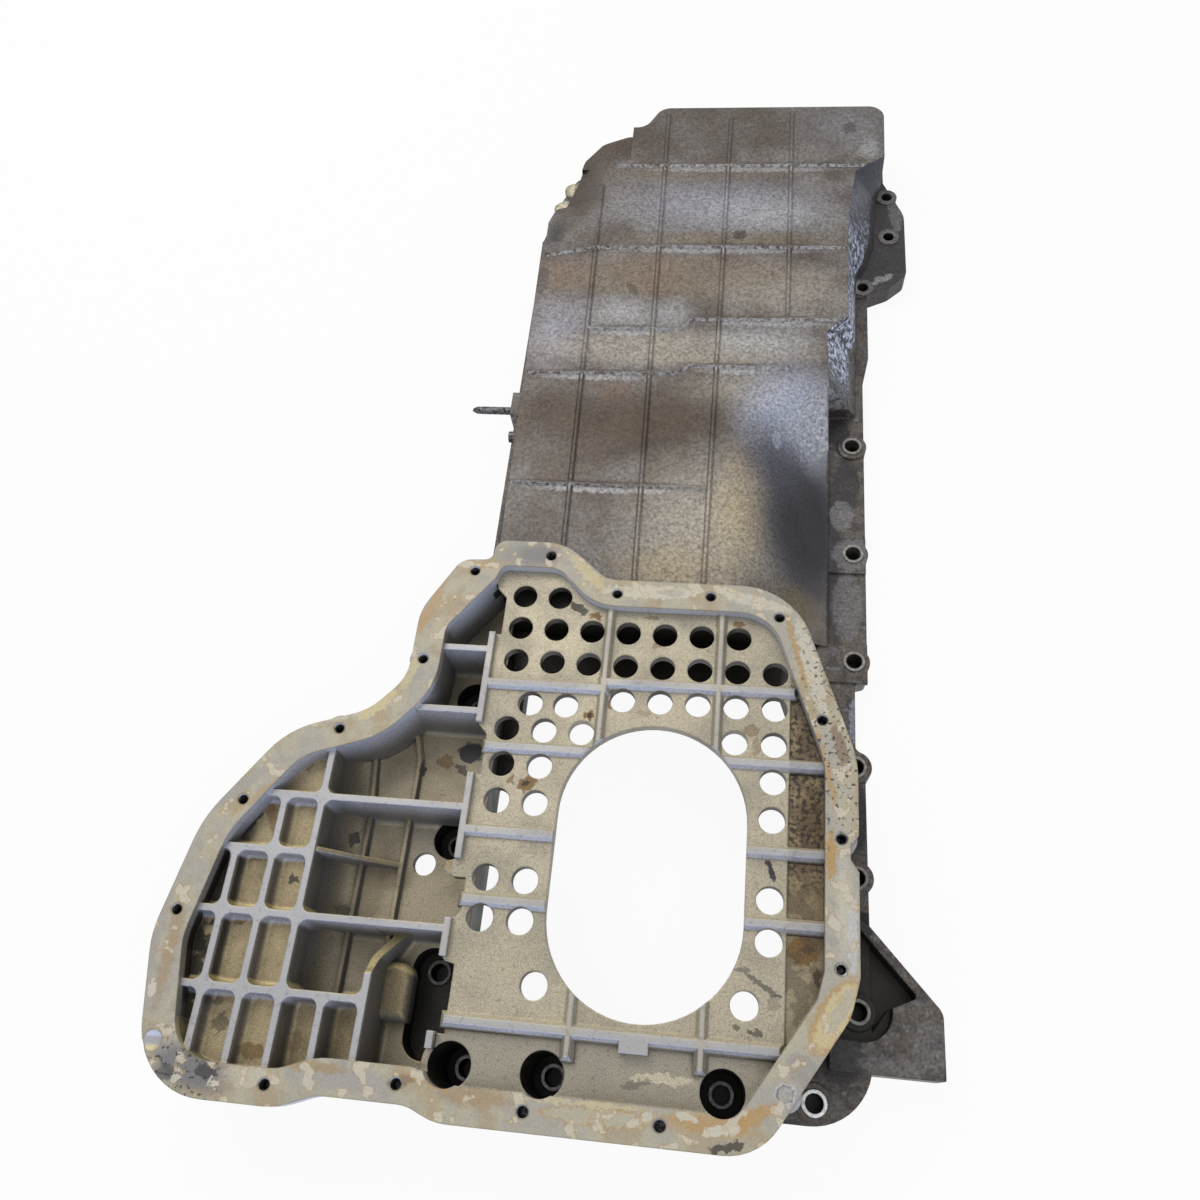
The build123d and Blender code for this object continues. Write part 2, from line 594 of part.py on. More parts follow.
def ears():
    """Corner ear by the rear face, with its pocket, and the ear beside the front end."""
    near_ear = slab(rounded([
        (EAR_ROOT_X, 96.0, 2), (112.0, 84.0, 2), (EAR_TIP_X, 46.0, 8), (EAR_TIP_X, EAR_NEAR_Y, 1),
        (EAR_ROOT_X, EAR_NEAR_Y, 2),
    ]), 0, EAR_Z)
    pocket = slab(rounded([
        (EAR_ROOT_X + 4, 88.0, 2), (105.5, 84.0, 2), (135.0, 52.0, 2), (121.0, 45.5, 4),
        (110.0, 30.0, 4), (EAR_ROOT_X + 4, 30.0, 2),
    ]), EAR_POCKET_Z, EAR_Z + 1)
    near_ear -= pocket
    near_ear -= post(SIDE_BOLT_X + 1, RIGHT_BOLTS_Y[0] + 1, PAD_OUTER_R, RAIL_T, EAR_Z + 1)
    front_ear = slab(rounded([
        (110.0, 630.0, 2), (128.0, 618.0, 8), (FRONT_EAR_X, 580.0, 20), (FRONT_EAR_X, 524.0, 8),
        (133.0, 513.0, 10), (110.0, 502.0, 2),
    ]), 0, FRONT_EAR_T)
    return [near_ear, front_ear]


def rail_bosses():
    """Pads, bosses and seats of the bolts on the block flange."""
    places = [CORNER_BOLT] + [(SIDE_BOLT_X, y) for y in RIGHT_BOLTS_Y]
    solids = []
    for x, y in places:
        solids.append(post(x, y, BOSS_R, 0, RAIL_T + BOSS_H))
        solids.append(post(x, y, SEAT_R, 0, RAIL_T + BOSS_H + SEAT_H))
    for y in RIGHT_BOLTS_Y[3:5]:
        solids.append(block(SUMP_RIGHT - FLANGE_W, RAIL_HALF, y - 13, y + 11, RAIL_T - 1, RAIL_T + BOSS_H))
    for x, y in FRONT_BOLTS:
        solids.append(post(x, y, SEAT_R + 1, 0, RAIL_T + BOSS_H + SEAT_H))
    for x, y in LEFT_PADS:
        solids.append(post(x, y, BOSS_R - 2, 0, RAIL_T))
    return solids


def slot_outline(radius):
    """Long slot along the left rail that ends at a bolt's tube."""
    length = SLOT_Y[1] - SLOT_Y[0]
    return Pos(SLOT_X, sum(SLOT_Y) / 2) * SlotCenterToCenter(length, 2 * radius, rotation=90)


def deep_tubes():
    """Tube walls around the recessed bolts, and the cuts and seats inside them."""
    outer = TUBE_R + TUBE_WALL
    walls = [post(x, 0, outer, 0, NEAR_FLOOR_Z) for x in NEAR_BOLTS_X]
    walls += [post(-SIDE_BOLT_X, y, outer, 0, WING_Z) for y in LEFT_BOLTS_Y]
    cuts = [post(x, 0, TUBE_R, RAIL_T, SUMP_Z) for x in NEAR_BOLTS_X]
    cuts += [post(-SIDE_BOLT_X, y, TUBE_R, RAIL_T, WING_Z + 1) for y in LEFT_BOLTS_Y]
    cuts.append(slab(slot_outline(TUBE_R), RAIL_T, WING_Z + 1))
    places = [(x, 0) for x in NEAR_BOLTS_X] + [(-SIDE_BOLT_X, y) for y in LEFT_BOLTS_Y]
    seats = [post(x, y, SEAT_R, RAIL_T - 1, RAIL_T + SEAT_H) for x, y in places]
    return walls, cuts, seats


def bolt_holes():
    """Clearance holes of every bolt through the block flange."""
    places = [(x, 0) for x in NEAR_BOLTS_X] + [CORNER_BOLT]
    places += [(-SIDE_BOLT_X, y) for y in LEFT_BOLTS_Y] + [(SIDE_BOLT_X, y) for y in RIGHT_BOLTS_Y]
    holes = [post(x, y, BOLT_R, -1, SUMP_Z - FLANGE_T) for x, y in places]
    return holes + [post(x, y, FRONT_BOLT_R, -1, ROOF_Z) for x, y in FRONT_BOLTS]


def sump_bosses(inside):
    """Bosses under the sump flange around its tapped holes."""
    depth = SUMP_HOLE_DEPTH + 3
    solids = [post(x, y, SUMP_BOSS_R, SUMP_Z - depth, SUMP_Z - 1) for x, y in SUMP_HOLES + [DOWEL_AT]]
    room = slab(inside, SUMP_Z - depth - 1, SUMP_Z)
    return [solid - room for solid in solids]


def sump_cuts():
    """Tapped holes with their lead-ins, the dowel's hole and a shallow dimple."""
    cuts = []
    for x, y in SUMP_HOLES:
        cuts.append(post(x, y, SUMP_HOLE_R, SUMP_Z - SUMP_HOLE_DEPTH, SUMP_Z + 1))
        cuts.append(Pos(x, y, SUMP_Z) * Cone(
            SUMP_HOLE_R, SUMP_HOLE_R + LEAD_IN, LEAD_IN, align=(Align.CENTER, Align.CENTER, Align.MAX)))
    cuts.append(post(*DOWEL_AT, DOWEL_R, SUMP_Z - DOWEL_L, SUMP_Z + 1))
    ball = (DIMPLE_R ** 2 + DIMPLE_DEPTH ** 2) / (2 * DIMPLE_DEPTH)
    cuts.append(Pos(*DIMPLE_AT, SUMP_Z + ball - DIMPLE_DEPTH) * Sphere(ball))
    return cuts


def casting():
    """The whole aluminium casting as one solid."""
    inside = flange_inside()
    wall_outside = offset(inside, WALL)
    tubes, tube_cuts, seats = deep_tubes()
    shell, hollow = front_shell()
    falling = [scoop(0)] + left_slope(0)

    wing_room = block(-RAIL_HALF - FLANGE_W, -RAIL_INNER, 0, BUMP_FAR_Y - FLANGE_W, WING_Z, SUMP_Z)
    shell = shell - falling - (slab(inside, WING_Z, SUMP_Z) & wing_room)
    hollow = hollow - scoop(ROOF_T) - left_slope(ROOF_T)
    room = slab(sharp(SHELL_TOP), ROOF_Z - 1, ROOF_Z + ROOF_RIB_H + 1) - falling

    body = flange_ring(inside) + deep_walls(inside, wall_outside) + block_rail()
    body += tubes + rail_bosses() + ears()
    body += [shell] + [rib & room for rib in roof_ribs()]
    body -= hollow
    body += wing(inside, wall_outside)
    body += [slab(slot_outline(TUBE_R + TUBE_WALL), 0, WING_Z)]
    body -= tube_cuts
    body += plate(wall_outside)
    body += tube_collars()
    body += wing_details(inside) + plate_ribs(inside) + sump_bosses(inside) + seats
    body += [wing_bump(), stud_boss()]
    body -= plate_openings()
    body -= tube_mouths()
    body -= bolt_holes() + sump_cuts()
    body -= [post(*DRAIN, DRAIN_R, WING_Z - WING_T - 1, WING_Z + 1), stud_hole(), screw_hole()]
    return body


def tube_collars():
    """Tube walls again through the near floor, where the hollow had cut them."""
    outer = TUBE_R + TUBE_WALL
    return [post(x, 0, outer, 0, NEAR_FLOOR_Z) - post(x, 0, TUBE_R, RAIL_T, SUMP_Z) for x in NEAR_BOLTS_X]


def tube_mouths():
    """Mouths of the near tubes through the near floor."""
    return [post(x, 0, TUBE_R, RAIL_T + SEAT_H, SUMP_Z) for x in NEAR_BOLTS_X]


def wing_bump():
    """Raised round-ended pad on the wing's floor beside the bolt slot."""
    pad = rounded([(-131.0, 17.0, 1), (-131.0, 45.0, 8), (-113.5, 45.0, 8), (-113.5, 17.0, 1)])
    solid = slab(pad, WING_Z - 1, BUMP_Z)
    return fillet(solid.faces().sort_by(Axis.Z)[-1].edges(), BUMP_EDGE_R)


def stud_boss():
    """Boss on the left side wall that carries the stud and the side screw."""
    half = STUD_BOSS_HALF
    foot = block(STUD_BOSS_X, FRONT_LEFT + 1, STUD_Y - half, STUD_Y + half, RAIL_T - 1, STUD_Z + half)
    half = SCREW_SEAT_HALF
    tail = block(SCREW_SEAT_X, FRONT_LEFT + 1, SCREW_Y - half, STUD_Y, RAIL_T - 1, STUD_Z + half)
    return foot + tail


def along_left(x, y, z, radius, length):
    """Cylinder that starts at a point and runs towards the left."""
    return Pos(x, y, z) * Rot(0, -90, 0) * Cylinder(
        radius, length, align=(Align.CENTER, Align.CENTER, Align.MIN))


def stud_hole():
    """Tapped hole of the stud."""
    return along_left(STUD_BOSS_X + STUD_DEPTH, STUD_Y, STUD_Z, STUD_R, STUD_DEPTH + STUD_TIP)


def screw_hole():
    """Tapped hole of the side screw."""
    return along_left(SCREW_SEAT_X + SCREW_DEPTH, SCREW_Y, STUD_Z, SCREW_R, SCREW_DEPTH + SCREW_HEAD_H)


def wall_stud():
    """Stud with a pointed end that stands out of the left side."""
    shank = along_left(STUD_BOSS_X + STUD_DEPTH, STUD_Y, STUD_Z, STUD_R, STUD_L + STUD_DEPTH - STUD_TIP)
    tip = Pos(STUD_BOSS_X - STUD_L + STUD_TIP, STUD_Y, STUD_Z) * Rot(0, -90, 0) * Cone(
        STUD_R, STUD_R * 0.45, STUD_TIP, align=(Align.CENTER, Align.CENTER, Align.MIN))
    return shank + tip


def side_screw():
    """Small socket-head screw next to the stud."""
    seat_x = SCREW_SEAT_X
    shank = along_left(seat_x + SCREW_DEPTH, SCREW_Y, STUD_Z, SCREW_R, SCREW_DEPTH)
    head = along_left(seat_x, SCREW_Y, STUD_Z, SCREW_HEAD_R, SCREW_HEAD_H)
    socket = Pos(seat_x - SCREW_HEAD_H / 2, SCREW_Y, STUD_Z) * Rot(0, -90, 0) * extrude(
        RegularPolygon(SCREW_R * 0.8, 6), SCREW_HEAD_H)
    return shank + head - socket


def flange_dowel():
    """Round plug pressed flush into the sump flange."""
    return post(*DOWEL_AT, DOWEL_R, SUMP_Z - DOWEL_L, SUMP_Z)


os.makedirs("parts", exist_ok=True)
for name, shape in (
    ("pan_casting", casting()),
    ("wall_stud", wall_stud()),
    ("side_screw", side_screw()),
    ("flange_dowel", flange_dowel()),
):
    export_step(shape, f"parts/{name}.step")
    print(name, len(shape.solids()), round(shape.volume), shape.bounding_box().size)
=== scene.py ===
"""Looks of an upper engine oil pan: oily cast aluminium, dried sealant, bare metal and steel.

The frame is in metres, with +Z from the block face to the sump flange. Sizes in this file
are in millimetres, as on a drawing, and MM turns them to metres.
"""

import logging
import math
from dataclasses import dataclass
from enum import Enum
from functools import partial
from typing import Any

import bpy
from mathutils import Matrix, Vector


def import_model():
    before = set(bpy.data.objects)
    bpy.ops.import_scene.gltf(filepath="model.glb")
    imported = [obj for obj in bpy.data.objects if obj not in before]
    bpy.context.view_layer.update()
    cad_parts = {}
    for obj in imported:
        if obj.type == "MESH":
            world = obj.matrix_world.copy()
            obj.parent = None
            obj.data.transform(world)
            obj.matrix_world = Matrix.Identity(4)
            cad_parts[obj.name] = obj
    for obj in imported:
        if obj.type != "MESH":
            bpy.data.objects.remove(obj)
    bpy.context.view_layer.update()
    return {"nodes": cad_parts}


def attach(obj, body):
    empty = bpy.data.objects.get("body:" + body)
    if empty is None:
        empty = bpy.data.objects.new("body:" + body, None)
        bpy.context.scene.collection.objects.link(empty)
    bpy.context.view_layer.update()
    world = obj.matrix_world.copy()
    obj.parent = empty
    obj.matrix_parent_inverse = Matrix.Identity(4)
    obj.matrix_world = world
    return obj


LOG = logging.getLogger("oil_pan")
MM = 0.001
BODY = "root"

# Levels of the casting above the block face, and outlines that the finishes follow
FLANGE_Z = 64.0
PLATE_Z = 57.0
NEAR_FLOOR_Z = 54.0
ROOF_Z = 45.0
WING_Z = 28.0
RAIL_Z = 12.0
EAR_TOP_Z = 21.5
RIB_TOP_Z = 60.5
PLATE_LEFT = -97.5
PLATE_RIGHT = 102.0
STRIP_X = 68.0
DEEP_FAR_Y = 262.0
NEAR_FLOOR_FAR_Y = 19.2
ROOF_NEAR_Y = 240.0

# Patches lie at multiples of this angle
TURN_STEP = 15

# Heights of the machined bolt seats above the rail, and how far up and down a seat's finish reaches
SEAT_HEIGHTS = (1.0, 2.6)
SEAT_REACH = 0.1

# Half the width of a thread ridge at its foot, as a share of the pitch
THREAD_FOOT = 0.42

# Tapped holes of the sump flange, and the bolts through the block flange
SUMP_HOLES = [
    (-67.0, 265.0), (-109.4, 253.3), (-130.0, 198.1), (-168.3, 155.6), (-211.4, 114.1),
    (-231.3, 56.8), (-167.5, -16.5), (-106.2, -10.4), (-46.8, -16.0), (14.3, -15.7),
    (92.7, 56.4), (93.2, 116.6), (83.8, 176.8), (61.0, 233.5), (23.7, 244.0), (-27.5, 243.1),
]
BLOCK_BOLTS = [
    (-85.0, 0.0), (-41.2, 0.0), (41.2, 0.0), (85.5, 0.6),
    (-106.5, 43.5), (-106.5, 109.0), (-106.5, 188.5),
    (106.5, 43.5), (106.5, 109.0), (106.5, 169.0), (106.5, 231.6), (106.5, 302.0), (106.5, 380.0),
    (114.9, 512.0), (133.3, 559.0), (132.8, 597.5),
]

Socket = bpy.types.NodeSocket
Range = tuple[float, float]


class Tone(Enum):
    """Colours of the metal, its skins and its dirt, and of painted light and shade, as sRGB."""

    SEALANT = "#b4af9c"
    SEALANT_PALE = "#cdc9ba"
    SEALANT_YELLOW = "#c9bd97"
    TAN = "#b39362"
    RUST = "#7c6350"
    BARE = "#96948f"
    BARE_BRIGHT = "#c9cbd0"
    BARE_DARK = "#77767a"
    FILM_GREY = "#a5a29e"
    FILM_BROWN = "#a39075"
    PLATE = "#aba38f"
    PLATE_GREY = "#918c80"
    STRIP = "#8b8168"
    # Painted cool reflection on near-facing slopes, walls and rib edges
    LAVENDER = "#cdd6f0"
    RIB_TOP = "#aaacb2"
    # Cream stain, also laid as a painted warm highlight on far-facing rib slopes and the far-left pads
    CREAM = "#d8cfb4"
    # Painted warm highlight on far-facing fillets and rib edges
    GOLD = "#dccb94"
    KHAKI = "#a29474"
    KHAKI_DARK = "#6a6049"
    VARNISH = "#6b5028"
    # Cool grey of the walls, also laid by facing as painted cool light and shade
    WING_WALL = "#85868b"
    # Painted shade on right-facing walls and in the cove
    CELL_SHADE = "#544f47"
    ROOF = "#767270"
    ROOF_DARK = "#544c46"
    ROOF_BROWN = "#75695b"
    ROOF_BAND = "#463a2e"
    # Pale roof tone, also the painted highlight on the near side of the roof ribs
    ROOF_PALE = "#a7a9ae"
    ROOF_BEIGE = "#9b958b"
    ROOF_BLUE = "#8b8b95"
    SLATE = "#3f424d"
    SHEEN = "#aab2c8"
    SOOT = "#26252a"
    OIL = "#17140f"
    EAR = "#58524d"
    # White, also laid as painted light on the deepest bolt seats
    WHITE = "#ffffff"


class Slot(Enum):
    """Name of a material slot of the record; nothing in this file uses it."""

    DARK_STEEL = "dark_steel"


class Wear(Enum):
    """How firmly a patch breaks up at its edge, as a share of its size."""

    FADE = 0.0
    SOFT = 0.35
    TORN = 0.75


def linear(hex_colour: str) -> tuple[float, float, float, float]:
    """Turns an sRGB hex colour to linear.

    Args:
        hex_colour: Colour such as "#8090a0".

    Returns:
        Linear red, green, blue and alpha.
    """
    parts = [int(hex_colour[i:i + 2], 16) / 255 for i in (1, 3, 5)]
    red, green, blue = [c / 12.92 if c <= 0.04045 else ((c + 0.055) / 1.055) ** 2.4 for c in parts]
    return red, green, blue, 1.0


def add_node(tree: bpy.types.NodeTree, kind: str, values: dict[int | str, Any] | None = None,
             **settings: Any) -> bpy.types.Node:
    """Adds one node with its settings and links.

    Args:
        tree: Node tree that gets the node.
        kind: Blender's name of the node's type.
        values: Input's number or name, to its value or to the output that feeds it.
        settings: Attributes of the node.

    Returns:
        The new node.
    """
    node = tree.nodes.new(kind)
    for name, setting in settings.items():
        setattr(node, name, setting)
    for key, value in (values or {}).items():
        if isinstance(value, bpy.types.NodeSocket):
            tree.links.new(value, node.inputs[key])
        else:
            node.inputs[key].default_value = value
    return node


@dataclass(frozen=True)
class Patch:
    """One stain, rubbed or soiled area, painted highlight or painted shade, seen from above.

    Attributes:
        x: Centre along X.
        y: Centre along Y.
        rx: Half length.
        ry: Half width.
        tone: Its colour.
        strength: How much it covers, from 0 to 1.
        turn: Angle of its length from X, in degrees.
        wear: How soft its edge is.
    """

    x: float
    y: float
    rx: float
    ry: float
    tone: Tone
    strength: float = 0.8
    turn: float = 0.0
    wear: Wear = Wear.SOFT


# A patch with a firm ragged edge, and one that fades out
torn = partial(Patch, wear=Wear.TORN)
faded = partial(Patch, wear=Wear.FADE)


@dataclass(frozen=True)
class Area:
    """Box that a finish keeps to; an axis with no range is left open.

    Attributes:
        x: Low and high X.
        y: Low and high Y.
        z: Low and high Z.
        soft: Half the width of its soft edge.
    """

    x: Range | None = None
    y: Range | None = None
    z: Range | None = None
    soft: float = 0.6


class Coat:
    """Grows one procedural finish in a material of its own; colour is its topmost layer so far."""

    def __init__(self, name: str) -> None:
        """Starts the material and reads the point's place and facing.

        Args:
            name: Name of the material.
        """
        self.material = bpy.data.materials.new(name)
        self.material.use_nodes = True
        self.tree = self.material.node_tree
        self.tree.nodes.clear()
        here = add_node(self.tree, "ShaderNodeTexCoord")
        self.place = add_node(
            self.tree, "ShaderNodeMapping",
            {"Vector": here.outputs["Object"], "Scale": (1 / MM,) * 3}).outputs[0]
        self.x, self.y, self.z = add_node(self.tree, "ShaderNodeSeparateXYZ", {0: self.place}).outputs
        facing = add_node(self.tree, "ShaderNodeSeparateXYZ", {0: here.outputs["Normal"]})
        self.facing_x, self.facing_y, self.facing_z = facing.outputs
        self.turned: dict[int, Socket] = {}
        self.colour: Any = linear(Tone.WHITE.value)

    def round_edges(self, radius: float) -> None:
        """Reads a facing that turns smoothly round every edge, for painted highlights and shade by facing,
        and for the relief.

        Args:
            radius: Radius of the round edge, in millimetres.
        """
        self.rounded = add_node(
            self.tree, "ShaderNodeBevel", {"Radius": radius * MM}, samples=4).outputs[0]
        self.soft_x, self.soft_y = add_node(
            self.tree, "ShaderNodeSeparateXYZ", {0: self.rounded}).outputs[:2]

    def grain(self, size: float, detail: float) -> Socket:
        """Even random field from 0 to 1.

        Args:
            size: Size of one lump in millimetres.
            detail: Octaves of finer lumps.

        Returns:
            The field.
        """
        scaled = add_node(
            self.tree, "ShaderNodeMapping", {"Vector": self.place, "Scale": (1 / size,) * 3})
        return add_node(
            self.tree, "ShaderNodeTexNoise",
            {"Vector": scaled.outputs[0], "Scale": 1.0, "Detail": detail}).outputs[0]

    def ramp(self, field: Socket, low: float, high: float, top: float = 1.0) -> Socket:
        """Smooth rise of a field's value to a mask; it falls where low is above high.

        Args:
            field: What is measured.
            low: Value where the mask is 0.
            high: Value where the mask is full.
            top: The full mask.

        Returns:
            The mask.
        """
        return add_node(
            self.tree, "ShaderNodeMapRange", {0: field, 1: low, 2: high, 3: 0.0, 4: top},
            interpolation_type="SMOOTHSTEP", clamp=False).outputs[0]

    def both(self, first: Socket, *others: Socket | float) -> Socket:
        """Product of masks.

        Args:
            first: First mask.
            others: More masks, or plain shares.

        Returns:
            The product.
        """
        for other in others:
            first = add_node(
                self.tree, "ShaderNodeMath", {0: first, 1: other}, operation="MULTIPLY").outputs[0]
        return first

    def either(self, first: Socket, *others: Socket) -> Socket:
        """Largest of several masks.

        Args:
            first: First mask.
            others: More masks.

        Returns:
            The largest.
        """
        for other in others:
            first = add_node(
                self.tree, "ShaderNodeMath", {0: first, 1: other}, operation="MAXIMUM").outputs[0]
        return first

    def inside(self, area: Area) -> Socket:
        """Mask of a box.

        Args:
            area: The box.

        Returns:
            The mask.
        """
        masks = []
        for axis, span in ((self.x, area.x), (self.y, area.y), (self.z, area.z)):
            if span:
                masks.append(self.ramp(axis, span[0] - area.soft, span[0] + area.soft))
                masks.append(self.ramp(axis, span[1] + area.soft, span[1] - area.soft))
        return self.both(*masks)

    def lay(self, tone: Tone, *masks: Socket | float) -> None:
        """Lays a colour on the coat where all masks are.

        Args:
            tone: Colour laid on.
            masks: Where it covers; later ones may be plain shares.
        """
        self.colour = self.mix(self.both(*masks), self.colour, linear(tone.value))

    def mix(self, mask: Socket, under: Any, over: Any) -> Socket:
        """Mixes two colours by a mask.

        Args:
            mask: The mask.
            under: Colour or output where it is 0.
            over: Colour or output where it is 1.

        Returns:
            The mixed colour.
        """
        return add_node(
            self.tree, "ShaderNodeMix", {0: mask, 6: under, 7: over}, data_type="RGBA").outputs[2]

    def tear(self, lump: float, reach: float) -> None:
        """Prepares torn plan coordinates, so that the edges of patches are ragged.

        The shader's memory is short, so each angle is prepared once, for all patches at it.

        Args:
            lump: Size of one tooth of the edge, in millimetres.
            reach: How far the edge strays, in millimetres.
        """
        strays = [
            add_node(
                self.tree, "ShaderNodeMapRange",
                {0: self.grain(lump * share, 6.0), 1: 0.0, 2: 1.0, 3: -reach, 4: reach}, clamp=False)
            for share in (1.0, 0.83)
        ]
        torn_x = add_node(self.tree, "ShaderNodeMath", {0: self.x, 1: strays[0].outputs[0]}, operation="ADD")
        torn_y = add_node(self.tree, "ShaderNodeMath", {0: self.y, 1: strays[1].outputs[0]}, operation="ADD")
        self.turned = {0: add_node(
            self.tree, "ShaderNodeCombineXYZ", {0: torn_x.outputs[0], 1: torn_y.outputs[0]}).outputs[0]}

    def turned_plan(self, turn: int) -> Socket:
        """Torn plan coordinates, turned.

        Args:
            turn: Angle in degrees.

        Returns:
            The coordinates.
        """
        if turn not in self.turned:
            angle = math.radians(turn)
            along, across = [
                add_node(
                    self.tree, "ShaderNodeVectorMath", {0: self.turned[0], 1: axis},
                    operation="DOT_PRODUCT").outputs["Value"]
                for axis in ((math.cos(angle), math.sin(angle), 0), (-math.sin(angle), math.cos(angle), 0))
            ]
            self.turned[turn] = add_node(self.tree, "ShaderNodeCombineXYZ", {0: along, 1: across}).outputs[0]
        return self.turned[turn]

    def spot(self, patch: Patch) -> Socket:
        """Mask of one patch, with a ragged edge.

        Args:
            patch: The patch.

        Returns:
            The mask.
        """
        turn = round(patch.turn / TURN_STEP) * TURN_STEP
        middle = Vector((patch.x, patch.y)) @ Matrix.Rotation(math.radians(turn), 2)
        local = add_node(
            self.tree, "ShaderNodeVectorMath",
            {0: self.turned_plan(turn), 1: (1 / patch.rx, 1 / patch.ry, 0),
             2: (-middle.x / patch.rx, -middle.y / patch.ry, 0)}, operation="MULTIPLY_ADD")
        reach = add_node(self.tree, "ShaderNodeVectorMath", {0: local.outputs[0]}, operation="LENGTH")
        return self.ramp(reach.outputs["Value"], 1.0, patch.wear.value, patch.strength)

    def lay_patches(self, patches: list[Patch], where: Socket) -> None:
        """Lays patches one over another, in one zone only.

        Args:
            patches: The patches, lowest first.
            where: Mask of their zone.
        """
        under = self.colour
        for patch in patches:
            self.lay(patch.tone, self.spot(patch))
        self.colour = self.mix(where, under, self.colour)

    def blend(self, under: Socket | float, over: Socket | float, mask: Socket) -> Socket:
        """Blends two values by a mask.

        Args:
            under: Value where the mask is 0.
            over: Value where it is 1.
            mask: The mask.

        Returns:
            The blended value.
        """
        return add_node(
            self.tree, "ShaderNodeMix", {0: mask, 2: under, 3: over}, data_type="FLOAT").outputs[0]

    def finish(self, values: dict[int | str, Any]) -> bpy.types.Material:
        """Closes the material with its shader.

        Args:
            values: Inputs of the shader.

        Returns:
            The material.
        """
        shader = add_node(self.tree, "ShaderNodeBsdfPrincipled", values)
        add_node(self.tree, "ShaderNodeOutputMaterial", {0: shader.outputs[0]})
        return self.material


# Areas that the finish of the casting treats apart
LEFT_ROOM = Area((-121, -91.5), (-12, 215), (0, WING_Z - 0.8), 0.3)
NEAR_ROOM = Area((-99, 58), (-12, 13), (0.5, NEAR_FLOOR_Z - 0.6), 0.4)
UNDER_FAR_WALL = Area((-100, 88), (237, 257), (44, 52), 0.4)
CHAMBERS = Area((-97, 87), (12, 650), (-5, 51.2))
OFF_RAIL = Area((-96, 96), (12, 700), soft=0.5)
SCOOP = Area((45, 90.5), (236, 420), soft=0.5)
WING = Area((-245, -89), (-30, DEEP_FAR_Y), (WING_Z - 0.8, FLANGE_Z - 0.5), 0.3)
WING_CELLS = Area((-245, -89), (-30, DEEP_FAR_Y), (WING_Z - 0.8, RIB_TOP_Z - 2.5), 0.8)
PLATE = Area((PLATE_LEFT, PLATE_RIGHT), (-26, DEEP_FAR_Y), (51, FLANGE_Z - 0.5), 0.3)
ROOF_LEVELS = Area(z=(20, ROOF_Z + 3), soft=0.5)
FRONT_EAR = Area((112, 150), (500, 620), soft=2)
EAR_POCKET = Area((90, 137), (24, 92), (0, 19), 0.5)
RIGHT_SLOPE = Area((86, 131), (404, 620), (13, 46))
CURVED_COVE = Area((-170, -149), (25, 119), (28.5, 49), 0.8)
CAKED_CELLS = Area((-245, -208), (4, 132), soft=5)
CRUSTED_WALL = Area((-245, -207), (16, 125), soft=4)
SPRAYED_STRIP = Area(y=(92, 210), soft=18)
VARNISHED_STRIP = Area(y=(60, 195), soft=20)
UPRIGHT_RIBS = (Area(x=(-34, -27), soft=0.5), Area(x=(27, 34), soft=0.5))

